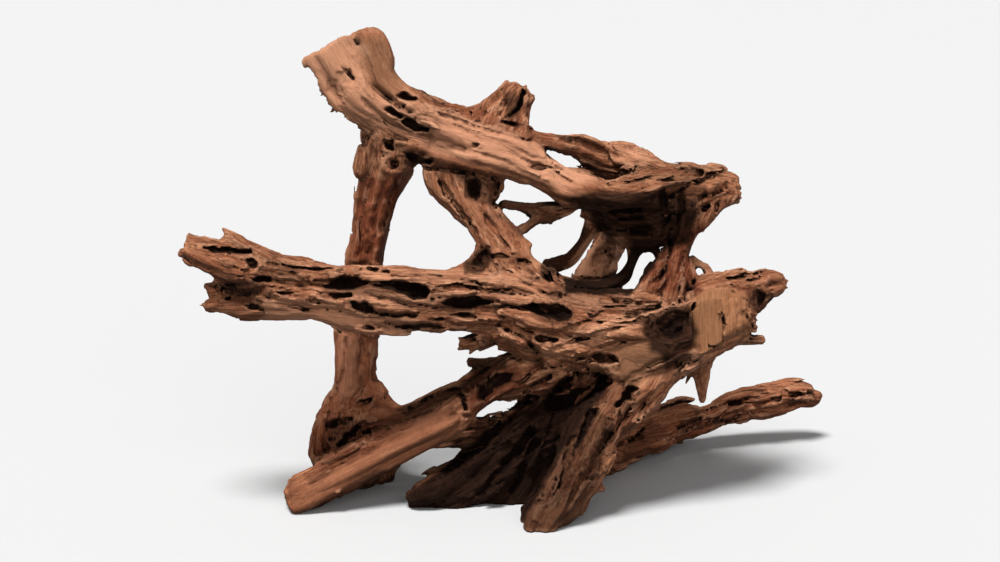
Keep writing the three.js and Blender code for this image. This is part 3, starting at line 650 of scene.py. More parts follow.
# The near side's own holes, cracks, ledges and ridges, drawn on the sheet, in mm.
# Holes and hollows: how deep, how soft the rim is, and the outline.
HOLLOWS = table("""
# upper limb
7 4: 343,68 349,69 355,77 356,84 351,82 346,75
4 9: 327,78 338,82 347,92 345,106 334,102 327,92
12 2: 397,96 404,93 412,97 421,102 412,103 402,100
7 2: 401,105 405,105 406,109 402,110
12 2: 383,110 392,108 400,113 411,117 400,119 390,115
15 2.5: 400,120 410,118 420,125 431,128 428,134 416,133 404,127
8 2: 363,135 369,135 370,141 364,142
12 1.5: 384,138 388,142 395,140 394,151 387,151
15 2.5: 402,151 412,153 420,157 433,158 430,164 416,163 408,160
9 3: 388,160 394,158 400,163 398,169 391,170
5 2: 418,144 422,145 421,149 417,148
5 2: 431,140 436,141 435,145 431,144
4 2: 473,144 478,145 476,148 473,147
7 2: 530,167 536,165 549,165 551,168 542,171 535,171
5 2: 461,167 467,168 466,172 461,171
# upper stub
13 3: 521,90 525,94 524,104 520,112 514,117 503,120 504,117 511,113 516,106 519,98
8 2: 501,101 508,99 509,104 506,109 500,107
9 2: 500,121 508,121 515,124 524,127 522,129 512,127 503,124
# upper limb's right end, with its layered shoulder
14 4: 544,148 556,150 573,156 588,168 600,178 584,176 566,168 548,158
6 3: 610,140 613,141 616,148 619,152 614,151
11 3: 614,178 624,171 636,167 648,167 664,165 664,169 648,173 630,178
10 3: 664,196 672,191 684,186 691,185 682,194 668,201
12 5: 657,188 668,187 669,224 661,230
8 5: 676,192 686,190 686,212 679,224
6 5: 714,204 722,200 722,212 712,222
7 3: 572,198 596,200 618,204 614,210 590,208 576,204
9 3: 606,214 626,210 646,212 640,220 618,222
9 3: 628,226 646,224 656,228 646,236 632,236
8 3: 596,214 604,216 612,230 604,232
11 2: 691,184 699,179 706,176 704,182 697,187
6 2: 700,196 716,190 730,184 722,193 706,200
# middle limb, from the tip
11 1.5: 194,245 215,248 240,249 251,250 253,253 236,255 212,255 208,250
10 2: 243,259 251,257 258,261 259,270 250,270 247,264
8 4: 274,274 285,270 298,271 300,278 276,279
12 1.5: 251,279 260,276 270,277 272,282 256,283
8 10: 214,281 245,278 270,284 266,302 240,304 220,300
5 2: 276,292 290,292 300,296 294,299 280,296
5 2: 300,288 316,289 330,293 320,295 304,292
5 2: 306,300 318,299 330,303 318,305
12 1.5: 245,306 252,304 264,308 267,312 250,311
8 1.5: 224,297 231,295 231,299 226,301
9 1.5: 326,422 335,420 343,419 348,424 336,428 323,429
5 2: 304,268 313,268 313,273 305,273
14 4: 314,286 326,283 340,275 355,276 366,280 376,284 364,288 350,292 332,292
10 2: 328,294 352,293 354,299 336,301
10 4: 362,284 380,281 415,281 430,286 431,294 412,301 398,295 380,289
20 3: 390,284 410,282 427,284 432,292 426,300 412,301 402,295
13 2.5: 350,302 364,302 374,308 382,314 366,314 351,310
7 2: 378,312 402,314 422,311 416,317 398,318 380,316
16 3: 440,303 448,298 470,296 484,298 498,301 488,306 468,309 444,307
15 6: 520,307 530,303 546,305 562,304 573,311 575,321 562,325 545,322 531,315
12 2.5: 450,314 462,312 476,315 482,320 464,320
7 2: 476,318 492,319 500,323 482,323
8 1.5: 428,319 446,318 446,321 430,322
10 2: 384,324 400,325 420,323 440,325 448,329 430,330 404,329
8 2: 450,329 464,329 480,334 464,335 452,333
7 1.5: 362,324 382,327 374,330 362,328
7 1.5: 366,268 381,268 380,271 370,271
6 1.5: 382,271 391,271 390,274 384,274
7 2: 591,300 611,299 612,304 593,305
9 2: 586,312 590,310 594,313 602,309 605,311 598,317 592,320 588,318
7 1.5: 629,312 636,311 644,314 643,317 634,317
5 1.5: 575,322 584,324 592,322 590,326 578,327
5 1.5: 612,308 620,306 628,305 622,309 614,311
6 1.5: 534,338 541,336 549,339 560,338 556,343 546,342 538,342
# centre strut
10 7: 464,180 478,177 486,186 484,200 474,206 466,196
7 4: 490,176 500,182 500,196 492,200
7 2.5: 487,255 500,253 512,257 506,261 490,260
6 2: 516,260 526,260 532,264 524,267 517,264
8 5: 468,264 476,255 486,250 492,258 486,270 472,271
# crown and the branch to the right
9 5: 750,295 757,290 765,292 768,301 764,308 757,312 751,306
8 2: 720,281 734,277 748,273 762,270 763,273 750,277 738,280 726,283
12 2: 744,281 750,277 760,276 761,280 752,283
9 1.5: 721,319 724,316 726,324 725,333 722,331
16 2: 697,299 700,308 699,312 689,313 692,307
10 2: 706,343 719,345 713,352
5 2: 732,291 736,291 736,295 732,295
5 2: 740,311 747,310 746,315 740,316
7 3: 764,296 775,296 778,300 768,305
9 12: 650,320 674,308 692,314 690,340 670,350 652,344
9 5: 664,324 680,322 680,336 666,338
7 4: 680,312 689,312 688,330 681,330
11 4: 588,356 600,353 614,355 621,362 612,366 596,365
9 2: 525,389 535,380 552,374 554,378 538,386 528,393
9 2: 571,369 578,369 579,376 572,376
20 6: 540,404 552,388 566,376 588,371 608,375 614,381 604,392 588,402 568,412 548,416
12 6: 470,402 478,384 496,372 514,372 512,382 496,392 484,404
9 4: 612,318 640,308 668,300 672,305 642,316 614,325
# left post and its foot
7 2: 345,418 354,417 353,421 346,422
12 3: 331,452 337,444 346,433 356,426 364,427 353,440 343,450 334,456
10 2: 363,432 370,430 372,437 364,439
8 2: 329,438 337,436 336,441 328,443
6 3: 354,402 365,399 373,398 367,407 356,408
# front left root and the fork over it
5 2: 463,414 475,417 488,419 500,419 488,422 464,418
9 1.5: 456,393 461,392 466,400 468,411 465,412 461,402
# front foot
14 5: 613,412 614,404 618,399 619,393 625,389 629,384 635,384 638,388 633,393 632,399 626,402 624,408
 619,410 616,415
10 5: 588,410 600,408 586,440 570,474 562,474 574,440
7 5: 570,436 578,434 564,470 554,496 548,496 558,466
8 4: 606,432 614,430 602,454 590,474 584,476 594,452
# rear root
8 2: 674,427 690,420 702,417 702,421 690,426 677,431
8 2: 702,422 720,419 733,418 733,423 704,427
6 2: 771,397 782,396 782,403 772,404
6 2: 788,393 801,393 801,398 790,398
6 2: 753,406 759,406 759,411 753,411
12 5: 622,430 634,422 646,428 642,440 628,444
# rear stump
7 2: 604,240 608,239 610,243 606,245
7 2: 604,249 609,248 610,253 606,255
4 1.5: 596,262 600,261 601,264 597,265
4 1.5: 612,262 616,263 615,266 611,265
# rear foot's deep flutes
12 5: 440,470 470,448 500,420 506,426 478,458 446,480
12 5: 470,496 500,462 530,425 538,432 508,472 480,502
12 5: 506,492 518,464 534,436 542,442 528,472 514,498
""")

# Cracks and grooves: how deep, how wide, and the line.
CRACKS = table("""
# upper limb
2.5 6: 352,38 356,52 362,68 370,84 378,98
4 2.5: 391,131 400,139 412,144
4 2.5: 430,110 452,118 474,126 500,134 520,140 540,143
5 3: 410,168 430,170 455,171 470,171 484,176 502,182
3 2.5: 440,142 462,150 486,156 510,162 534,172
2.5 2.5: 470,163 496,168 520,176 545,188
3 2.5: 420,112 440,124 466,134 490,144
3 2.5: 512,148 530,155 552,166 572,176
5 2.5: 503,122 513,125 523,127 540,132
6 3: 531,165 540,165 549,168 560,176 576,186
2.5 5: 318,70 326,78 334,90 342,104
4 2.5: 360,98 372,108 384,122 392,134
4 2.5: 370,82 384,96 398,108 414,114
6 3: 504,86 500,94 494,102 484,109 476,113
6 3: 511,90 506,98 500,108 490,114 480,117
5 3: 517,92 512,102 507,110 496,117
5 2.5: 527,95 526,106 522,118
# upper limb's right end
6 3: 556,138 576,140 596,146 608,154 614,166
5 3: 609,141 612,150 620,160
5 3: 624,145 636,152 652,160 668,163
7 3: 602,184 622,184 642,181 662,175 684,171 704,172
7 3: 606,192 634,189 656,183 680,178 702,176 720,176
6 3: 640,195 660,190 684,184 706,180 726,178
6 3: 706,184 702,200 694,216 688,232
5 3: 718,182 712,198 704,212
6 3: 694,204 706,194 722,186 736,182
6 3: 692,216 706,206 720,198 734,192
7 3: 682,238 690,222 700,212 712,206
# sawn face: upright fibres at its right
3 2.2: 728,288 730,310 728,334
3 2.2: 735,288 737,312 735,338
3 2.2: 742,292 743,316 741,338
3 2.2: 748,300 748,318 746,334
# left post: long wavy grooves
6 3.5: 372,172 370,190 364,210 362,230 358,262
6 3.5: 386,174 384,192 377,212 374,236 370,264
5 3: 398,174 393,192 386,212 380,238
6 3.5: 346,332 346,352 343,374 338,392 326,408
6 3.5: 360,332 362,352 358,374 360,388 352,402 340,412
5 3: 322,414 318,430 316,446 318,460
5 3: 334,402 328,416 326,436 326,456
# middle limb: long runs of grain
4 2.5: 212,256 230,256 246,262 262,268 284,270 300,268
5 2.5: 262,262 284,266 306,270 330,270 350,272
4 2.5: 270,289 292,287 312,285 330,287
6 3: 310,285 328,288 346,290
6 2.5: 270,303 292,306 312,309 334,310 352,312
4 2.5: 300,278 322,276 345,273 370,275 392,276
4 2.5: 386,272 410,275 432,277 454,279 480,284 510,288
5 2.5: 436,288 456,288 480,288 504,291 530,294 556,292
4 2.5: 400,304 416,308 434,312 452,310 474,309 500,311
6 3: 470,322 490,322 510,325 530,332 548,338
5 2.5: 352,322 372,324 392,331
4 2.5: 466,328 480,330 496,330
8 3.5: 498,330 510,331 520,334 527,339 532,346 538,352 540,359 538,366
5 2.5: 492,301 506,304 520,308 534,311
5 2.5: 516,280 536,288 556,298 574,304
5 2.5: 540,276 560,286 580,294 600,297
4 2.5: 500,270 520,276 540,284
# centre strut
3 3: 440,180 452,197 465,214 477,230 486,245
4 3: 448,178 460,200 472,216 486,232 498,250
5 3: 494,186 492,206 500,224 512,240 522,252
6 3: 478,208 488,222 500,238 512,252
# crown
6 3: 560,286 580,294 604,298 626,300
7 3: 548,352 568,344 590,337 612,330 636,322 652,318
5 3: 556,366 580,356 600,348 624,342 648,340
6 3: 600,306 620,308 640,304 660,300
5 3: 536,366 556,356 574,352 590,350
4 2.5: 560,330 580,326 600,318
4 2.5: 545,344 566,338 588,330 606,322
5 3: 612,386 632,378 650,372 672,364 694,354
5 2.5: 728,286 746,290 760,286 778,283
5 2.5: 736,312 748,318 752,330 748,342
4 2: 742,296 750,304 748,316
# front left root
5 3: 376,440 396,430 416,420 436,410
4 2.5: 386,420 406,412 426,404 452,396
5 3: 372,432 392,424 412,416 430,406
4 2.5: 340,462 354,456 372,448
4 2.5: 306,474 322,470 340,466 362,460
6 3: 472,424 490,410 508,396 524,380 540,362
5 3: 484,430 504,414 520,400 536,384
6 3: 464,398 484,386 502,374 518,362
5 3: 470,388 488,376 504,366
5 3: 404,410 424,402 446,394 466,386
# front foot
6 3.5: 604,384 594,404 580,430 570,456 562,476
6 3.5: 640,392 622,420 606,444 592,466 576,492 562,516
5 3: 652,392 640,410 626,430 612,452 602,470
4 3: 584,430 574,452 562,480 554,500
5 3: 608,410 596,432 580,460 568,486 560,504
5 3: 628,376 650,366 676,356
# rear foot
6 3.5: 430,484 456,468 480,448 504,424 524,404
6 3.5: 440,500 470,482 494,458 516,434 540,408
6 3.5: 500,500 516,478 536,448 552,424
# rear right root
6 3: 640,446 670,436 700,424 730,414 760,404 790,396
5 3: 650,430 676,418 704,410 732,404 760,396 790,390
5 3: 660,444 690,434 716,424 744,414 776,408
4 2.5: 690,412 716,408 740,400 764,393
# right post
6 3: 668,228 672,246 668,262 660,276 648,288
6 3: 680,236 682,252 680,268 674,284
5 3: 690,244 688,258 690,272 692,286
# rear stump
5 3: 600,246 596,262 592,278
5 3: 614,246 608,262 604,278
""")

# Ledges: how far the wood drops on the right of the line, as it is walked, and over what width.
LEDGES = table("""
5 10: 600,182 620,182 640,179 655,173 672,166
6 10: 610,190 634,186 650,181 680,174 700,172
5 9: 648,195 668,187 692,180 714,176
5 10: 560,163 578,172 597,174 612,182
6 12: 455,405 400,425 355,445 330,456 311,467
5 9: 462,298 480,290 512,288 536,292
5 9: 560,322 586,326 604,322
5 9: 400,299 418,303 440,307 470,304 500,303
5 10: 535,352 568,341 600,331 640,316 668,305 690,300
6 9: 700,297 697,312 697,340 700,352
5 10: 660,396 640,420 620,440 600,462 590,486
5 8: 206,273 222,272 240,275 262,274
4 8: 352,290 372,294 396,300 412,304
5 10: 478,238 462,216 445,196 430,172
2.5 9: 520,138 480,124 450,112 420,98
5 9: 560,326 590,320 612,322 630,326
5 10: 526,500 536,462 548,430 560,400
4 8: 540,290 566,294 596,300 628,303
4 8: 588,316 612,326 640,320 664,310 686,304
4 8: 556,372 584,360 606,350 634,342
4 8: 620,384 646,376 672,366 696,356
4 8: 640,330 660,338 672,350 668,364
4 8: 450,284 480,288 510,293 540,296
4 8: 440,322 470,324 500,324 530,330
4 8: 300,280 330,279 360,280 384,282
4 8: 340,314 370,320 400,326 440,328
4 8: 210,262 232,266 256,270 280,270
2 8: 440,118 466,128 492,136 520,148
2 8: 470,150 500,158 530,172 560,188
4 8: 560,138 584,142 606,152
4 8: 350,190 354,220 350,250
""")

# Ridges that stand proud: how high, how wide, and the line.
RIDGES = table("""
4 7: 497,336 509,338 518,343 525,351 529,361
3 4: 346,44 354,56 362,72 368,88 378,106
3 5: 580,183 590,187 601,193
3 5: 612,180 620,174 630,169 645,167 660,165
3 5: 440,105 452,109 462,113 470,113
3 6: 535,349 568,338 600,328 640,313 668,303 690,298
3 5: 665,394 652,408 640,419 620,438 600,458
3 5: 382,160 386,170 396,174 404,168 402,158 394,153 385,156
2.5 4: 240,258 246,255 257,256 261,264 257,271 247,273
3 5: 350,296 358,293 372,292 388,296 402,302
3 5: 436,295 452,293 474,292 500,294
3 6: 505,322 530,326 550,328 575,326
2.5 5: 350,180 356,200 354,224
3 5: 378,180 376,200 370,222 366,246
3 5: 352,334 352,356 350,378 344,396
3 5: 660,232 666,246 662,262 650,278
3 5: 674,240 676,258 668,276 660,290
4 5: 672,190 673,210 670,234
4 6: 724,170 714,186 702,204 690,226
3 3: 640,178 664,172 690,169 712,168
3 5: 700,190 694,204 686,220
2.5 4: 540,300 570,299 600,305 640,306 690,295
2.5 4: 566,320 596,326 620,322 650,312
2.5 4: 560,360 584,352 604,344 640,334
2.5 4: 640,372 664,364 690,352 706,350
2.5 4: 552,160 568,170 600,173 612,181
""")

# Sheets of air: what lies inside these outlines is cut away from the near limb altogether.
AIR = table("""
# the hooked lobe's outline, from its tip along the top, and then down its left edge
280,70 301,60 309,56 320,49 330,43 337,39 345,35 351,31 350,10 280,10
280,68 304,69 309,66 315,73 317,81 318,88 321,93 326,97 328,104 337,112 344,114 352,123 356,124 350,150
 280,150
# the middle limb's broken tip
160,225 190,233 200,237 206,235 212,239 220,240 224,234 221,228 220,210 160,210
160,225 188,232 187,238 184,244 185,248 180,250 178,256 160,262
160,262 180,261 190,265 200,268 207,273 213,276 215,281 210,284 200,284 160,284
160,284 203,285 206,292 208,300 204,303 160,304
160,304 203,304 206,311 220,313 230,315 240,318 240,335 160,330
# left of the left post's top
334,172 350,176 351,190 350,214 334,214
# between the strut and the forked twig
504,210 522,212 520,222 515,225 510,220
# the crumbled lobes under the middle limb
446,330 461,337 459,341 457,345 462,347 458,350 462,353 466,351 470,355 473,352 477,349 481,352 486,346
 496,342 497,356 462,357 446,357
# the blunt sawn end of the front left root
260,470 285,484 283,490 285,499 288,507 294,513 290,530 260,530
""")

# Splinters: the depth, the thickness at both ends, and where each starts and ends on the sheet.
SPLINTERS = table("""
-14 4.5 2.0: 314,61 305,66
-9 3.0 1.0: 326,92 321,95
-6 3.0 1.2: 336,107 331,112
-5 3.0 1.2: 349,113 345,117
-66 3.5 1.5: 196,241 189,234
-66 3.5 1.5: 214,243 204,237
-60 5.0 1.8: 240,240 223,229
-68 6.0 3.5: 192,254 181,254
-58 5.0 2.0: 216,288 206,286
-58 6.0 3.0: 218,305 207,306
-2 3.0 1.2: 448,112 437,104
2 3.0 1.2: 345,324 331,323
-40 4.5 2.0: 472,340 459,349
-40 4.0 1.6: 478,344 470,353
-42 5.0 1.8: 500,338 480,350
-40 4.0 1.5: 466,342 459,338
10 5.0 1.5: 724,198 739,201
-30 4.5 2.6: 486,254 457,270
-25 3.0 1.2: 691,372 686,383
""")

# Where the grain is calm: by how much, how soft the rim is, and the outline.
CALM = table("""
0.95 14: 300,60 348,26 385,30 402,80 420,100 400,120 370,118 330,106
0.7 8: 512,512 580,502 584,536 512,540
0.45 6: 676,152 728,152 732,172 676,171
0.6 8: 330,326 390,326 384,372 412,404 400,420 310,420 300,440 296,400
0.5 8: 348,176 412,168 392,262 344,264
0.5 8: 746,264 792,264 792,302 764,300
0.85 6: 284,484 316,484 346,466 374,448 400,434 452,407 470,412 464,432 400,464 350,486 296,516
0.7 6: 724,288 752,288 752,336 724,348
1.0 4: 692,300 704,288 724,288 726,348 700,355 694,340
0.95 14: 602,350 640,338 676,346 668,374 640,386 606,378
0.7 8: 262,298 330,302 400,318 440,330 380,333 262,320
0.5 8: 420,180 470,196 504,186 544,258 500,262 470,240
0.6 8: 580,240 630,232 624,288 574,286
0.4 8: 340,330 378,330 376,390 336,390
0.72 12: 430,106 500,126 560,150 606,184 596,206 540,190 490,176 430,160
0.5 6: 270,262 340,267 460,271 530,272 530,284 460,282 340,276 270,270
0.5 8: 612,142 640,150 660,160 640,166 616,166
""")

# Where the grain is rougher, in the same way.
ROUGH = table("""
0.7 12: 430,286 520,284 600,294 690,294 690,314 640,330 566,352 530,346 470,328 430,316
0.5 8: 262,262 350,272 352,300 300,302 262,290
0.5 8: 614,168 676,160 730,166 736,190 700,230 664,196 620,190
0.5 10: 440,392 520,366 540,372 520,404 450,430
""")

# Paint on the near side: which paint, how strong, how soft the rim is, and the outline.
# The dark paint is partly real stains and partly painted shade, under overhangs and in hollows.
PAINTS = ("stain", "sawn", "tan", "red", "pale")
# The pale paint is painted light: it makes parts of the near side look more brightly lit.
PAINT = table("""
stain 0.93 9: 562,196 604,190 660,190 700,200 690,244 655,252 634,248 624,240 600,235 590,214 572,208
stain 1.0 14: 396,520 404,490 430,474 456,450 480,430 514,410 540,396 566,378 606,372 610,392 588,420
 568,452 546,488 526,526
stain 0.75 12: 590,400 618,420 606,460 576,530 512,536 544,480 570,430
stain 0.8 6: 300,520 318,506 350,492 385,480 420,462 460,444 470,452 420,490 330,525
stain 0.93 9: 640,324 656,312 690,303 698,330 694,352 672,362 650,352
stain 0.75 6: 396,408 430,396 474,376 484,366 500,366 484,384 440,404 404,418
stain 0.8 5: 466,358 506,358 506,370 468,371
stain 0.6 4: 482,334 502,338 484,352 478,350
stain 0.85 5: 540,262 584,224 594,230 578,252 560,274 542,276
stain 1.0 5: 562,276 600,279 622,267 634,238 668,236 656,266 630,296 564,294
stain 0.8 5: 340,494 372,477 398,464 404,480 388,494 346,502
stain 0.93 10: 648,332 690,330 698,346 690,356 676,368 665,373 662,356 650,344
stain 0.55 10: 220,278 262,280 278,292 262,304 226,302
stain 0.7 7: 462,178 480,174 502,184 500,204 484,206 466,196
stain 0.6 6: 498,198 560,200 562,222 520,238 500,220
stain 0.75 6: 504,92 522,96 520,118 506,120
stain 0.5 8: 398,170 412,170 392,232 384,262 376,262 386,214
stain 0.3 6: 486,252 532,256 532,267 486,264
stain 0.82 6: 464,262 478,249 490,247 494,260 484,273 464,275
stain 0.7 8: 404,150 440,158 504,182 500,190 450,176 404,166
stain 0.55 8: 660,184 700,172 706,200 690,236 668,234
stain 0.5 8: 548,146 600,162 616,178 596,178 570,166
stain 0.45 8: 622,426 650,416 668,430 650,450 622,460
stain 0.6 8: 440,300 494,296 498,306 440,314
stain 0.6 8: 522,304 574,308 570,326 544,323
stain 0.6 4: 520,333 530,341 541,353 543,367 536,367 533,356 524,344
stain 0.35 9: 462,384 516,370 528,390 470,410
stain 0.55 7: 322,278 350,274 384,282 430,284 430,298 380,296 350,296 322,296
stain 0.5 6: 264,268 300,268 302,279 266,281
stain 0.55 6: 348,302 378,308 404,316 398,321 370,318 350,310
stain 0.5 5: 380,322 440,322 440,332 384,330
stain 0.5 6: 384,106 412,114 436,128 430,138 400,130
stain 0.25 9: 610,166 660,156 700,160 720,170 680,186 620,188
stain 0.85 6: 438,450 474,431 478,418 500,416 500,442 470,456 440,460
stain 0.35 6: 305,476 330,456 400,423 452,402 458,412 400,438 340,468 312,486
stain 0.2 8: 645,290 664,236 700,226 694,262 702,294
stain 0.5 6: 746,288 768,286 776,300 762,314 748,308
stain 0.4 9: 548,286 600,294 640,300 640,310 600,312 550,300
stain 0.45 8: 600,386 634,378 640,392 620,416 596,420
sawn 0.9 5: 691,314 697,297 706,289 724,288 725,348 700,354 691,344
sawn 0.65 5: 722,288 744,290 752,312 750,334 724,346
stain 0.5 6: 370,424 400,410 452,390 456,401 400,427 372,444
stain 0.5 6: 324,420 348,416 374,426 360,440 334,458 324,446
tan 0.45 8: 284,484 340,466 400,436 454,406 468,420 460,436 400,464 296,516
sawn 0.35 8: 540,352 580,340 620,326 624,334 580,350 544,362
tan 1.0 12: 604,350 640,338 672,348 666,376 630,386 604,376
tan 0.75 9: 354,36 382,36 398,62 402,90 384,98 360,62
tan 0.5 10: 228,236 262,252 300,264 280,268 240,256
tan 0.45 10: 404,272 440,272 450,284 420,284
red 0.8 10: 350,176 404,176 384,262 350,262
red 0.55 10: 334,330 378,330 396,402 408,424 350,470 306,470 310,420
pale 0.35 8: 336,330 362,330 360,392 340,400
red 0.5 9: 286,486 330,462 400,432 456,402 464,430 400,466 330,500 290,516
red 0.8 8: 630,290 660,236 706,226 694,262 704,294
red 0.7 9: 460,372 516,366 530,400 470,412
red 0.6 9: 620,462 650,430 720,402 818,384 818,406 700,438
red 0.5 9: 440,100 560,130 540,170 430,142
red 0.6 8: 524,380 600,372 560,440 500,440
pale 0.9 12: 302,60 320,46 350,30 362,60 376,96 400,128 372,134 340,114 318,92
pale 0.85 12: 374,90 430,108 500,130 560,152 600,180 560,190 500,168 430,150 390,130
pale 0.5 9: 262,298 330,300 400,318 440,330 380,333 262,320
pale 0.5 10: 606,140 640,148 664,160 640,172 612,160
pale 0.3 8: 360,266 440,268 540,274 540,286 440,282 360,276
pale 1.0 6: 580,250 590,238 600,234 624,237 628,248 618,264 616,282 566,286
pale 0.6 8: 540,346 600,322 660,300 690,294 690,304 610,338 548,360
pale 0.55 8: 472,286 540,292 560,288 604,296 600,312 560,302 500,298
pale 0.5 7: 344,286 400,296 426,306 400,310 350,300
""")

# The sawn face is flat, this far behind the wood at its middle, in mm.
SAWN_MIDDLE = (709, 320)
SAWN_DEPTH = 6.0
SAWN_OUTLINE = [(692, 313), (698, 298), (706, 291), (723, 290), (723, 346), (700, 353), (692, 343)]

# What is cut away altogether is cut this deep, and cracks and ledges together go no deeper, in mm.
AIR_DEPTH = 70.0
MOST_LOWERED = 7.0
# The sheet is drawn with this much room around lines and outlines.
STROKE_MARGIN = 6
EXACT_MARGIN = 2
# How far what is drawn wanders, and the cells of the noise that moves and shapes it.
WANDER_ACROSS = 5
WANDER_DOWN = 4
FINE_WANDER = 2
WANDER_CELL = 9
FINE_WANDER_CELL = 3
CRACK_CELL = 15
CRACK_SHARE = 0.75
FLOOR_CELL = 5
# Strands on the floor of a hollow: their length, their width and the layer of noise.
STRANDS = (15, 3.2, 7.5)
# The near side faces the eye up to this slope, taken over a few places, and fades out over the next.
OPEN_STEP = 4
OPEN_SLOPE = 0.9
OPEN_OVER = 1.6
# Least share of cracks and ledges where the near side turns away from the eye.
TURNED_AWAY = 0.25
# Ridges fade out where the wood is cut this deep, in mm.
RIDGE_LOST = 4


def line_distance(across, down, line):
    """Distance to a line of points, on which side of it, and how far along it as a share from 0 to 1."""
    best = np.full(across.shape, NOWHERE, np.float32)
    side = np.zeros_like(best)
    along = np.zeros_like(best)
    line = np.array(line, np.float32)
    lengths = np.linalg.norm(np.diff(line, axis=0), axis=1)
    starts = np.concatenate([[0], np.cumsum(lengths)])
    for i, (a, b) in enumerate(zip(line[:-1], line[1:])):
        step = (b - a) / lengths[i]
        x, y = across - a[0], down - a[1]
        t = np.clip(x * step[0] + y * step[1], 0, lengths[i])
        gap = np.hypot(x - t * step[0], y - t * step[1])
        closer = gap < best
        best[closer] = gap[closer]
        side[closer] = np.sign(x * -step[1] + y * step[0])[closer]
        along[closer] = ((starts[i] + t) / starts[-1])[closer]
    return best, side, along


def inside_depth(across, down, outline):
    """How far inside a closed outline each place is, negative outside."""
    gap, _, _ = line_distance(across, down, outline + outline[:1])
    within = np.zeros(across.shape, bool)
    for a, b in zip(outline, outline[1:] + outline[:1]):
        if a[1] == b[1]:
            continue
        crosses = (down < a[1]) != (down < b[1])
        within ^= crosses & (across < a[0] + (down - a[1]) * (b[0] - a[0]) / (b[1] - a[1]))
    return np.where(within, gap, -gap)


def window(line, margin):
    """The part of the sheet around a line, as slices of its rows and columns."""
    line = np.array(line)
    low = np.maximum(0, (line.min(0) - margin).astype(int))
    high = np.minimum(SHEET_SIZE, (line.max(0) + margin).astype(int) + 1)
    return slice(low[1], high[1]), slice(low[0], high[0])


def blot(outline, soft, wander):
    """A soft patch inside an outline, as its part of the sheet and its strength there from 0 to 1."""
    part = window(outline, soft)
    return part, smooth(inside_depth(wander[0][part], wander[1][part], outline) / soft + 0.5)


def strands_along(across, down, outline):
    """Noise from 0 to 1 in strands that run the long way of an outline."""
    _, axes = np.linalg.eigh(np.cov(np.array(outline, float).T))
    u, v = axes[:, 1]
    length, width, layer = STRANDS
    return noise((across * u + down * v) / length, (down * u - across * v) / width, layer)


def how_open(near_side):
    """How much the near side faces the eye, from 0 at a limb's outline to 1."""
    across = np.abs(near_side - np.roll(near_side, OPEN_STEP, 1))
    down = np.abs(near_side - np.roll(near_side, OPEN_STEP, 0))
    return 1 - smooth((np.maximum(across, down) / OPEN_STEP - OPEN_SLOPE) / OPEN_OVER)


def wandering(places, across, down, strength, layer):
    """Places of the sheet, moved to and fro a little, so that nothing drawn is straight or even."""
    coarse = noise(across / WANDER_CELL, down / WANDER_CELL, layer) - 0.5
    fine = noise(across / FINE_WANDER_CELL, down / FINE_WANDER_CELL, layer + 4) - 0.5
    return places + strength * coarse + FINE_WANDER * fine


def stroke(line, wide, wander):
    """The part of the sheet around a line, and there how far the line is, its side and its taper."""
    part = window(line, wide + STROKE_MARGIN)
    gap, side, along = line_distance(wander[0][part], wander[1][part], line)
    return part, gap, side, np.minimum(along, 1 - along)


def draw_ledges_and_cracks(across, down, wander):
    """How far ledges and cracks lower the near side."""
    lowered = np.zeros_like(across)
    for drop, wide, line in LEDGES:
        part, gap, side, taper = stroke(line, wide, wander)
        lowered[part] += drop * smooth(taper * 5) * smooth(side * gap / 1.5 + 0.3) * (1 - smooth(gap / wide))
    for deep, wide, line in CRACKS:
        part, gap, _, taper = stroke(line, wide, wander)
        share = noise(across[part] / CRACK_CELL, down[part] / CRACK_CELL, 60.5)
        deepened = deep * CRACK_SHARE * (0.4 + share) * smooth(taper * 6 + 0.15)
        lowered[part] += deepened * (1 - smooth(gap / (wide * (0.8 + 0.9 * share))))
    return lowered


def draw_hollows(across, down, wander):
    """How deep holes and hollows are, with strands on their floors and the softer rim below."""
    cut = np.zeros_like(across)
    floor_noise = noise(across / FLOOR_CELL, down / FLOOR_CELL, 41.5)
    for deep, soft, outline in HOLLOWS:
        part = window(outline, STROKE_MARGIN)
        inner = inside_depth(wander[0][part], wander[1][part], outline)
        heights = [place[1] for place in outline]
        below_top = np.clip((down[part] - min(heights)) / (max(heights) - min(heights)), 0, 1)
        rim = 1 + soft * (0.35 + 1.3 * below_top)
        strands = strands_along(across[part], down[part], outline)
        shape = deep * smooth((inner + 1) / rim) * (0.5 + 0.4 * floor_noise[part] + 0.7 * strands)
        cut[part] = soft_max(cut[part], shape, 1.0)
    return np.maximum(0, cut)


def draw_ridges(across, wander):
    """How far ridges stand proud of the near side."""
    proud = np.zeros_like(across)
    for high, wide, line in RIDGES:
        part, gap, _, taper = stroke(line, wide, wander)
        proud[part] = np.maximum(proud[part], high * smooth(taper * 5) * (1 - smooth(gap / wide)))
    return proud


def cut_sawn_face(cut, near_side, across, down):
    """Deepens the cut to the flat sawn face."""
    part = window(SAWN_OUTLINE, EXACT_MARGIN)
    face = near_side[SAWN_MIDDLE[::-1]] + SAWN_DEPTH
    flat = np.maximum(0, face - near_side[part])
    inner = inside_depth(across[part], down[part], SAWN_OUTLINE) > 0
    cut[part] = np.where(inner & (flat < NEAR_BAND), flat, cut[part])


def cut_air(cut, near_side, wander):
    """Cuts through the near limb, and through all that lies on a line of sight with no near side."""
    for (outline,) in AIR:
        part = window(outline, EXACT_MARGIN)
        inner = inside_depth(wander[0][part], wander[1][part], outline)
        empty = near_side[part] >= VERY_FAR
        cut[part] = np.where(inner > 0, AIR_DEPTH + VERY_FAR * empty, cut[part])


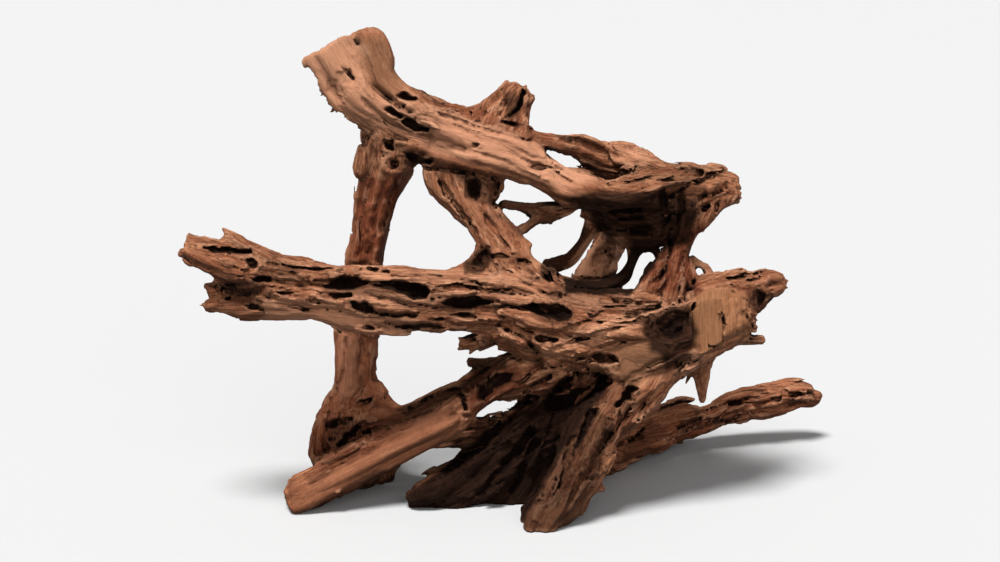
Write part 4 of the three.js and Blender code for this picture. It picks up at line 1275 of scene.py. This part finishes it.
def draw_paint(sheet, across, wander):
    """Draws where the grain is calm or rough, and each paint."""
    sheet.calm = np.zeros_like(across)
    for strength, soft, outline in CALM:
        part, patch = blot(outline, soft, wander)
        sheet.calm[part] = np.maximum(sheet.calm[part], strength * patch)
    for strength, soft, outline in ROUGH:
        part, patch = blot(outline, soft, wander)
        sheet.calm[part] -= strength * patch
    sheet.paint = {kind: np.zeros_like(across) for kind in PAINTS}
    for kind, strength, soft, outline in PAINT:
        part, patch = blot(outline, soft, wander)
        sheet.paint[kind][part] = np.maximum(sheet.paint[kind][part], strength * patch)


def draw_sheet(sheet):
    """Draws the maps: how deep the near side is cut, how far it stands proud, its calm and its paint."""
    down, across = np.mgrid[0 : SHEET_SIZE[1], 0 : SHEET_SIZE[0]].astype(np.float32)
    wander = (wandering(across, across, down, WANDER_ACROSS, 0.5),
              wandering(down, across, down, WANDER_DOWN, 20.5))
    lowered = np.minimum(draw_ledges_and_cracks(across, down, wander), MOST_LOWERED)
    sheet.lowered = lowered * (TURNED_AWAY + (1 - TURNED_AWAY) * how_open(sheet.near_side))
    sheet.hollow = draw_hollows(across, down, wander)
    sheet.cut = sheet.hollow.copy()
    cut_sawn_face(sheet.cut, sheet.near_side, across, down)
    cut_air(sheet.cut, sheet.near_side, wander)
    sheet.proud = draw_ridges(across, wander) * (1 - smooth(sheet.cut / RIDGE_LOST))
    draw_paint(sheet, across, wander)


def join_labels(count, pairs):
    """Labels of the connected groups of count things, joined by pairs."""
    label = np.arange(count)
    while True:
        a, b = label[pairs[:, 0]], label[pairs[:, 1]]
        differ = a != b
        if not differ.any():
            return label
        low, high = np.minimum(a, b)[differ], np.maximum(a, b)[differ]
        np.minimum.at(label, high, low)
        while (label[label] != label).any():
            label = label[label]


def edges_of(quads):
    """Directed edges of quads, and for each the quad that it belongs to."""
    start = quads.reshape(-1)
    end = np.roll(quads, -1, axis=1).reshape(-1)
    return start, end, np.repeat(np.arange(len(quads)), 4)


def neighbours(quads):
    """Pairs of quads that share an edge."""
    start, end, owner = edges_of(quads)
    key = np.minimum(start, end).astype(np.int64) * (quads.max() + 1) + np.maximum(start, end)
    order = np.argsort(key, kind="stable")
    same = key[order][1:] == key[order][:-1]
    return np.stack([owner[order][:-1][same], owner[order][1:][same]], 1)


def keep_largest(points, quads):
    """Drops crumbs that float free and the skins of bubbles inside the wood."""
    label = join_labels(len(points), np.stack(edges_of(quads)[:2], 1))
    counts = np.bincount(label[quads[:, 0]])
    main = counts.argmax()
    quads = quads[label[quads[:, 0]] == main]
    used, quads = np.unique(quads, return_inverse=True)
    return points[used], quads.reshape(-1, 4)


# A point belongs to the limb whose plain surface is nearest, among those within this distance, in mm.
OWN_REACH = 20
POINTS_AT_ONCE = 20000


def nearest_limb(points):
    """For each point the limb that it belongs to, and its coordinates s, a and b on that limb."""
    count = len(points)
    best = np.full(count, NOWHERE, np.float32)
    owner = np.zeros(count, np.int32)
    coords = np.zeros((count, 3), np.float32)
    points = points.astype(np.float32)

    def work(part):
        for limb in limbs:
            inside = ((points[part] > limb.low) & (points[part] < limb.high)).all(1)
            which = np.flatnonzero(inside) + part.start
            if not len(which):
                continue
            guess, gap = limb.nearest(points[which])
            which, guess = which[gap < OWN_REACH], guess[gap < OWN_REACH]
            if not len(which):
                continue
            d, _, s, a, b = limb.field(points[which], guess.astype(np.float32))
            closer = d < best[which]
            chosen = which[closer]
            best[chosen] = d[closer]
            owner[chosen] = limb.index
            coords[chosen] = np.stack([s, a, b], 1)[closer]

    with ThreadPoolExecutor(WORKERS) as pool:
        starts = range(0, count, POINTS_AT_ONCE)
        list(pool.map(work, [slice(i, min(i + POINTS_AT_ONCE, count)) for i in starts]))
    return owner, coords


def vertex_normals(points, quads):
    """The skin's normal at each point."""
    corner = points[quads]
    facing = np.cross(corner[:, 2] - corner[:, 0], corner[:, 3] - corner[:, 1])
    total = np.zeros_like(points)
    for i in range(4):
        for axis in range(3):
            total[:, axis] += np.bincount(quads[:, i], facing[:, axis], len(points))
    return unit(total + 1e-12)


NODES = list(dict.fromkeys(limb.node for limb in limbs))
# Islands of fewer quads than this go to the node around them, which takes a few rounds.
LEAST_ISLAND = 500
ISLAND_ROUNDS = 4


def node_of_quads(quads, owner):
    """The node of each quad, with small islands given to what surrounds them."""
    of_limb = np.array([NODES.index(limb.node) for limb in limbs])
    of_point = of_limb[owner]
    votes = np.sort(of_point[quads], axis=1)
    label = np.where(votes[:, 1] == votes[:, 2], votes[:, 1], votes[:, 0])
    pairs = neighbours(quads)
    for _ in range(ISLAND_ROUNDS):
        same = label[pairs[:, 0]] == label[pairs[:, 1]]
        island = join_labels(len(quads), pairs[same])
        size = np.bincount(island, minlength=len(quads))[island]
        small = size < LEAST_ISLAND
        if not small.any():
            break
        for a, b in ((0, 1), (1, 0)):
            cross = ~same & small[pairs[:, a]] & (size[pairs[:, b]] > size[pairs[:, a]])
            label[pairs[cross, a]] = label[pairs[cross, b]]
            # The whole island follows the first of its quads that has a larger neighbour.
            moved = np.full(len(quads), -1)
            moved[island[pairs[cross, a]]] = label[pairs[cross, b]]
            follow = (moved[island] >= 0) & small
            label[follow] = moved[island][follow]
            same = label[pairs[:, 0]] == label[pairs[:, 1]]
    return label


def boundary_loops(quads):
    """The closed rims of a part of the skin, as lists of points."""
    start, end, _ = edges_of(quads)
    key = start.astype(np.int64) * (quads.max() + 1) + end
    back = end.astype(np.int64) * (quads.max() + 1) + start
    open_edge = ~np.isin(key, back)
    follow = {}
    for a, b in zip(start[open_edge].tolist(), end[open_edge].tolist()):
        follow.setdefault(a, []).append(b)
    loops = []
    while follow:
        first = next(iter(follow))
        loop, here = [], first
        while here in follow:
            loop.append(here)
            onward = follow[here]
            after = onward.pop()
            if not onward:
                del follow[here]
            here = after
            if here == first:
                break
        if len(loop) > 2:
            loops.append(loop)
    return loops


# The cup that closes a rim: its depth in mm and as a share of the rim's size, and its ring's own shares.
CUP_DEPTH = 4.0
CUP_SHARE = 0.25
RING_DEPTH = 0.8
RING_SIZE = 0.5


def capped(points, quads, loops):
    """Closes a piece where it was parted from its neighbours, with a shallow cup into its own wood."""
    middle = points[np.unique(quads)].mean(0)
    extra, faces = [], []
    count = len(points)
    for loop in loops:
        rim = points[loop]
        centre = rim.mean(0)
        size = np.linalg.norm(rim - centre, axis=1).mean()
        inward = middle - centre
        inward = inward / (np.linalg.norm(inward) + 1e-9) * min(CUP_DEPTH, CUP_SHARE * size)
        ring = centre + inward * RING_DEPTH + (rim - centre) * RING_SIZE
        base = count + len(extra)
        extra.extend(ring)
        extra.append(centre + inward)
        hub = base + len(loop)
        for i, a in enumerate(loop):
            j = (i + 1) % len(loop)
            faces.append((loop[j], a, base + i, base + j))
            faces.append((base + j, base + i, hub))
    return np.array(extra).reshape(-1, 3), faces


# How far out from the wood crevices are looked for, for the painted shade in them, and how far into the wood
# edges are, for the painted highlight on them, in mm.
CREVICE_REACHES = (2.5, 5.0, 9.0, 16.0)
EDGE_REACHES = (2.5, 5.0)
# Inside a drawn hollow, and up to a little past its floor, painted shade takes the wood from its own colour
# to black, from this depth on and over this distance, in mm.
HOLLOW_SHADE_FROM = 4.0
HOLLOW_SHADE_OVER = 8.0
HOLLOW_FLOOR = 4
# The dark paint, partly real stains and partly painted shade, reaches this far behind the near side, in mm.
STAIN_AND_SHADE_BAND = 70.0


def crevice_shade(points, normals):
    """How shut in each point is, from 0 on open wood to 1 in a deep crack or a hollow: the share of painted
    shade there.
    """
    total = 0
    for reach in CREVICE_REACHES:
        seen = field.between(points + normals * reach)
        total = total + np.clip(1 - seen / min(reach, REACH), 0, 2)
    behind, place = sheet.behind(points)
    deep = sheet.hollow[place]
    # Painted shade: the deep part of a drawn hollow is painted dark, more so the deeper it lies.
    in_hollow = (deep > HOLLOW_SHADE_FROM) & (behind < deep + HOLLOW_FLOOR)
    dark = in_hollow * smooth((behind - HOLLOW_SHADE_FROM) / HOLLOW_SHADE_OVER)
    return np.maximum(total / len(CREVICE_REACHES), dark)


def edge_sharpness(points, normals):
    """How much each point stands out, from 0 on flat wood to 1 on a sharp edge, where a highlight is
    painted.
    """
    total = sum(1 + field.between(points - normals * reach) / reach for reach in EDGE_REACHES)
    return np.clip(total / len(EDGE_REACHES), 0, 1)


def make_piece(name, points, normals, quads, data):
    """One piece as a closed mesh in metres, with its data as attributes of its points."""
    used, local = np.unique(quads, return_inverse=True)
    local = local.reshape(-1, 4)
    own = points[used]
    extra, caps = capped(own, local, boundary_loops(local))
    every = np.vstack([own, extra]) if len(extra) else own
    mesh = bpy.data.meshes.new(name)
    mesh.from_pydata((every * MM).tolist(), [], local.tolist() + caps)
    mesh.shade_smooth()
    facing = np.vstack([normals[used], np.zeros((len(extra), 3))])
    mesh.normals_split_custom_set_from_vertices(facing.tolist())
    for key, values in data.items():
        full = np.zeros((len(every),) + values.shape[1:], np.float32)
        full[: len(used)] = values[used]
        kind = "FLOAT_VECTOR" if values.ndim == 2 else "FLOAT"
        layer = mesh.attributes.new(key, kind, "POINT")
        layer.data.foreach_set("vector" if values.ndim == 2 else "value", full.ravel())
    piece = bpy.data.objects.new(name + "_wood", mesh)
    bpy.context.scene.collection.objects.link(piece)
    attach(piece, "root")
    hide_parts(name)
    return piece


# A plain root first, to find the near side, and then the root with its grain and the sheet's relief.
plain_field = Field(PLAIN_VOXEL)
for limb in limbs:
    plain_field.add_limb(limb)
sheet = Sheet(nearest_at_edges(plain_field.near_side()))
draw_sheet(sheet)
field = Field(VOXEL)
for limb in limbs:
    field.add_limb(limb, True, sheet)
field.carve(sheet)
for depth, thick_root, thick_tip, (root, tip) in SPLINTERS:
    field.add_splinter(at(*root, depth), at(*tip, depth), thick_root, thick_tip)
points, quads = field.skin()
points, quads = keep_largest(points, quads)
owner, coords = nearest_limb(points)
normals = vertex_normals(points, quads)
label = node_of_quads(quads, owner)
# The painted shade of crevices and hollows, and the sharpness of edges for their painted highlight, are kept
# on the points.
data = {"grain": coords, "crevice_shade": crevice_shade(points, normals), "edge_highlight": edge_sharpness(points, normals)}
# The paints are read off the sheet; the dark one, partly painted shade, reaches further back than the
# others.
for kind in PAINTS:
    data[kind] = sheet.on_near_side(points, sheet.paint[kind], STAIN_AND_SHADE_BAND if kind == "stain" else NEAR_BAND)
data["calm"] = sheet.on_near_side(points, sheet.calm)
pieces = [make_piece(name, points, normals, quads[label == i], data) for i, name in enumerate(NODES)]


class Nodes:
    """Adds nodes to a material in few words."""

    def __init__(self, name, roughness):
        self.material = bpy.data.materials.new(name)
        self.material.use_nodes = True
        self.tree = self.material.node_tree
        self.bsdf = self.tree.nodes["Principled BSDF"]
        self.bsdf.inputs["Roughness"].default_value = roughness

    def join(self, value, socket):
        """Sets a socket to a value, or links it to the output that gives the value."""
        if hasattr(value, "is_output"):
            self.tree.links.new(value, socket)
        else:
            socket.default_value = value

    def attribute(self, name):
        """The node that reads an attribute of the mesh."""
        node = self.tree.nodes.new("ShaderNodeAttribute")
        node.attribute_name = name
        return node

    def scaled(self, vector, scale):
        """A vector with each part scaled."""
        node = self.tree.nodes.new("ShaderNodeMapping")
        node.inputs["Scale"].default_value = scale
        self.join(vector, node.inputs["Vector"])
        return node.outputs["Vector"]

    def noise(self, vector, detail, roughness=0.6, distortion=0.0):
        """Noise from 0 to 1 with cells of side 1."""
        node = self.tree.nodes.new("ShaderNodeTexNoise")
        node.inputs["Scale"].default_value = 1.0
        node.inputs["Detail"].default_value = detail
        node.inputs["Roughness"].default_value = roughness
        node.inputs["Distortion"].default_value = distortion
        self.join(vector, node.inputs["Vector"])
        return node.outputs["Fac"]

    def ramp(self, source, stops):
        """Colours between the stops, by the source's value."""
        node = self.tree.nodes.new("ShaderNodeValToRGB")
        elements = node.color_ramp.elements
        while len(elements) < len(stops):
            elements.new(0.5)
        for element, (place, colour) in zip(elements, stops):
            element.position = place
            element.color = (*colour, 1)
        self.join(source, node.inputs["Fac"])
        return node.outputs["Color"]

    def spread(self, source, low, high, out_low=0.0, out_high=1.0):
        """The source's range from low to high, spread softly over the outer range."""
        node = self.tree.nodes.new("ShaderNodeMapRange")
        node.interpolation_type = "SMOOTHSTEP"
        names = ("Value", "From Min", "From Max", "To Min", "To Max")
        for name, value in zip(names, (source, low, high, out_low, out_high)):
            self.join(value, node.inputs[name])
        return node.outputs["Result"]

    def math(self, operation, a, b, clamp=True):
        """A calculation with two values."""
        node = self.tree.nodes.new("ShaderNodeMath")
        node.operation = operation
        node.use_clamp = clamp
        self.join(a, node.inputs[0])
        self.join(b, node.inputs[1])
        return node.outputs["Value"]

    def mix(self, share, a, b, blend="MIX"):
        """Two colours mixed, with a share of the second."""
        node = self.tree.nodes.new("ShaderNodeMix")
        node.data_type = "RGBA"
        node.blend_type = blend
        self.join(share, node.inputs["Factor"])
        for value, socket in ((a, node.inputs["A"]), (b, node.inputs["B"])):
            self.join((*value, 1) if isinstance(value, tuple) else value, socket)
        return node.outputs["Result"]

    def bump(self, height, distance, strength=1.0, normal=None):
        """A normal tilted by a height, on top of another normal."""
        node = self.tree.nodes.new("ShaderNodeBump")
        node.inputs["Strength"].default_value = strength
        node.inputs["Distance"].default_value = distance
        self.join(height, node.inputs["Height"])
        if normal is not None:
            self.join(normal, node.inputs["Normal"])
        return node.outputs["Normal"]


# Colours of the wood, as linear red, green and blue.
PALE_FIBRE = (0.57, 0.265, 0.142)
MID_FIBRE = (0.35, 0.134, 0.066)
DARK_FIBRE = (0.125, 0.038, 0.017)
# Painted light, for the pale paint.
PALE_PAINTED_LIGHT = (0.80, 0.40, 0.235)
# Painted highlight on sharp edges.
EDGE_HIGHLIGHT = (0.60, 0.33, 0.20)
RED_WOOD = (0.62, 0.42, 0.38)
TAN_WOOD = (0.20, 0.100, 0.051)
SAWN_WOOD = (0.35, 0.162, 0.076)
SAW_LINE = (0.24, 0.104, 0.048)
# Painted shade in crevices and hollows.
CREVICE_SHADE = (0.0070, 0.0030, 0.0020)
# The dark paint's colour, for real stains and for painted shade, also used for the painted shade on
# undersides.
STAIN_AND_SHADE = (0.0090, 0.0033, 0.0018)
# The noises' scales: along and across the grain, in 1 to the mm, and for the rest in 1 to the metre.
FIBRE_SCALE = (0.045, 0.62, 0.62)
STREAK_SCALE = (0.012, 0.13, 0.13)
LINE_SCALE = (0.020, 0.26, 0.26)
CRUMB_SCALE = (420, 420, 420)
MOTTLE_SCALE = (120, 120, 120)
BLOTCH_SCALE = (17, 17, 17)
SAW_MARK_SCALE = (900, 90, 26)
# Half of the width of a dark line of the grain, as a difference of the noise.
LINE_WIDTH = 0.035
# How far the bumps rise, in metres.
CRUMB_BUMP = 0.0006
GRAIN_BUMP = 0.0024


def grain_lines(nodes, grain):
    """Thin lines along the grain, 1 on a line and 0 beside it."""
    lines = nodes.noise(nodes.scaled(grain, LINE_SCALE), 3, 0.6, 0.4)
    lines = nodes.math("ABSOLUTE", nodes.math("SUBTRACT", lines, 0.5, False), 0.0)
    return nodes.spread(lines, 0.0, LINE_WIDTH, 1.0, 0.0)


def bare_wood(nodes, tone, crumbs, calm, position):
    """The wood's own colour, with blotches, mottling, specks and the red paint."""
    blotches = nodes.noise(nodes.scaled(position, BLOTCH_SCALE), 3, 0.6)
    mottle = nodes.noise(nodes.scaled(position, MOTTLE_SCALE), 4, 0.7)
    colour = nodes.ramp(tone, [(0.37, DARK_FIBRE), (0.47, MID_FIBRE), (0.58, PALE_FIBRE)])
    darker = nodes.mix(0.4, DARK_FIBRE, colour)
    colour = nodes.mix(nodes.spread(blotches, 0.3, 0.75, 0.0, 0.5), colour, darker)
    darker = nodes.mix(0.5, DARK_FIBRE, colour)
    colour = nodes.mix(nodes.spread(mottle, 0.38, 0.6, 0.4, 0.0), colour, darker)
    rough = nodes.math("SUBTRACT", 1.0, calm)
    specks = nodes.math("MULTIPLY", nodes.spread(crumbs, 0.57, 0.66, 0.0, 0.7), rough)
    colour = nodes.mix(specks, colour, nodes.mix(0.7, colour, DARK_FIBRE))
    blotchy = nodes.spread(blotches, 0.5, 0.75, 0, 0.35)
    redness = nodes.math("ADD", nodes.attribute("red").outputs["Fac"], blotchy)
    return nodes.mix(redness, colour, nodes.mix(1.0, colour, RED_WOOD, "MULTIPLY"))


def with_tan_and_painted_light(nodes, colour, fibres):
    """The colour with the tan paint, the pale paint, which is painted light, and a painted highlight on
    sharp edges.
    """
    colour = nodes.mix(nodes.attribute("tan").outputs["Fac"], colour, nodes.mix(0.35, TAN_WOOD, colour))
    # Painted light: the pale paint makes parts of the near side look more brightly lit.
    pale = nodes.attribute("pale").outputs["Fac"]
    colour = nodes.mix(pale, colour, nodes.mix(0.40, PALE_PAINTED_LIGHT, colour))
    # Painted highlight: sharp edges are paler, along the fibres.
    edge_highlight = nodes.spread(nodes.attribute("edge_highlight").outputs["Fac"], 0.08, 0.4, 0.0, 0.6)
    return nodes.mix(nodes.math("MULTIPLY", edge_highlight, fibres), colour, EDGE_HIGHLIGHT)


def with_painted_shade(nodes, colour, place):
    """The colour with painted shade on undersides and in crevices and hollows, and darker under the dark
    paint, which is partly real stains and partly painted shade.
    """
    facing = nodes.tree.nodes.new("ShaderNodeSeparateXYZ")
    nodes.join(place.outputs["Normal"], facing.inputs[0])
    # Painted shade: faces that turn downwards are darker.
    under = nodes.spread(facing.outputs["Z"], 0.2, -0.6, 0.0, 0.85)
    colour = nodes.mix(under, colour, nodes.mix(0.25, STAIN_AND_SHADE, colour))
    # Painted shade in crevices and hollows, nearly black where they are most shut in.
    crevice_shade_share = nodes.attribute("crevice_shade").outputs["Fac"]
    colour = nodes.mix(nodes.spread(crevice_shade_share, 0.12, 0.8, 0.0, 0.95), colour, CREVICE_SHADE)
    # The dark paint: partly real stains, partly painted shade.
    return nodes.mix(nodes.attribute("stain").outputs["Fac"], colour, nodes.mix(0.03, STAIN_AND_SHADE, colour))


def weathered_wood():
    """Fibrous wood along each limb's grain, with saw marks on the sawn face."""
    nodes = Nodes("weathered_wood_fibres", 0.75)
    nodes.bsdf.inputs["Specular IOR Level"].default_value = 0.06
    grain = nodes.attribute("grain").outputs["Vector"]
    calm = nodes.attribute("calm").outputs["Fac"]
    sawn = nodes.attribute("sawn").outputs["Fac"]
    place = nodes.tree.nodes.new("ShaderNodeNewGeometry")
    position = place.outputs["Position"]
    fibres = nodes.noise(nodes.scaled(grain, FIBRE_SCALE), 4, 0.7, 0.3)
    streaks = nodes.noise(nodes.scaled(grain, STREAK_SCALE), 3, 0.55, 0.5)
    crumbs = nodes.noise(nodes.scaled(position, CRUMB_SCALE), 3, 0.6)
    saw_marks = nodes.noise(nodes.scaled(position, SAW_MARK_SCALE), 4, 0.75)
    tone = nodes.mix(0.2, nodes.mix(0.5, fibres, streaks), crumbs)
    tone = nodes.mix(nodes.math("MULTIPLY", calm, 0.5), tone, (0.50, 0.50, 0.50))
    colour = bare_wood(nodes, tone, crumbs, calm, position)
    colour = with_tan_and_painted_light(nodes, colour, fibres)
    lines = nodes.math("MULTIPLY", grain_lines(nodes, grain), nodes.spread(calm, 0.0, 0.8, 0.7, 0.15))
    colour = nodes.mix(lines, colour, nodes.mix(0.2, DARK_FIBRE, colour))
    sawn_colour = nodes.mix(nodes.spread(saw_marks, 0.42, 0.6), SAW_LINE, SAWN_WOOD)
    colour = with_painted_shade(nodes, nodes.mix(sawn, colour, sawn_colour), place)
    nodes.join(colour, nodes.bsdf.inputs["Base Color"])
    nodes.join(nodes.spread(tone, 0.3, 0.7, 0.88, 0.66), nodes.bsdf.inputs["Roughness"])
    fine = nodes.bump(crumbs, CRUMB_BUMP, 0.8)
    cracked = nodes.math("SUBTRACT", fibres, nodes.math("MULTIPLY", lines, 0.6))
    normal = nodes.bump(nodes.mix(sawn, cracked, saw_marks), GRAIN_BUMP, 0.9, fine)
    nodes.join(normal, nodes.bsdf.inputs["Normal"])
    return nodes.material


material = weathered_wood()
for piece in pieces:
    piece.data.materials.append(material)


FLOOR_SIDE = 120.0
FLOOR_PALENESS = 0.5
WORLD_STRENGTH = 0.24
# Lamps: the strength, where the light comes from and the width in degrees.
KEY = (4.8, (-0.45, -0.62, 2.4), 18)
FILL = (0.75, (0.6, -1.8, 1.1), 50)
# The camera's sensor, in mm.
SENSOR_WIDTH = 36


def pale_floor():
    """The floor that the root stands on."""
    nodes = Nodes("pale_floor", 0.9)
    nodes.bsdf.inputs["Base Color"].default_value = (FLOOR_PALENESS, FLOOR_PALENESS, FLOOR_PALENESS, 1)
    half = FLOOR_SIDE / 2
    mesh = bpy.data.meshes.new("floor")
    corners = [(-half, -half, 0), (half, -half, 0), (half, half, 0), (-half, half, 0)]
    mesh.from_pydata(corners, [], [(0, 1, 2, 3)])
    mesh.materials.append(nodes.material)
    floor = bpy.data.objects.new("floor", mesh)
    bpy.context.scene.collection.objects.link(floor)


def sun(name, strength, comes_from, width):
    """A distant lamp, as wide as this in degrees."""
    data = bpy.data.lights.new(name, "SUN")
    data.energy = strength
    data.angle = math.radians(width)
    lamp = bpy.data.objects.new(name, data)
    lamp.rotation_euler = (-Vector(comes_from)).to_track_quat("-Z", "Y").to_euler()
    bpy.context.scene.collection.objects.link(lamp)


def studio():
    """A pale floor, a soft sun, a softer one from the front and an even white sky."""
    pale_floor()
    sun("key", *KEY)
    sun("fill", *FILL)
    world = bpy.data.worlds.new("studio")
    world.use_nodes = True
    background = world.node_tree.nodes["Background"]
    background.inputs["Color"].default_value = (1, 1, 1, 1)
    background.inputs["Strength"].default_value = WORLD_STRENGTH
    bpy.context.scene.world = world


def camera_as_in_the_sheet():
    """A camera that sees the root as the sheet shows it."""
    data = bpy.data.cameras.new("camera")
    data.sensor_width = SENSOR_WIDTH
    data.lens = data.sensor_width * EYE_DISTANCE / SHEET_SIZE[0]
    data.clip_end = 100
    camera = bpy.data.objects.new("camera", data)
    camera.location = EYE * MM
    camera.rotation_euler = (math.pi / 2 - EYE_TILT, 0, 0)
    bpy.context.scene.collection.objects.link(camera)
    bpy.context.scene.camera = camera


studio()
camera_as_in_the_sheet()
bpy.context.scene.view_settings.view_transform = "Standard"

bpy.context.view_layer.update()
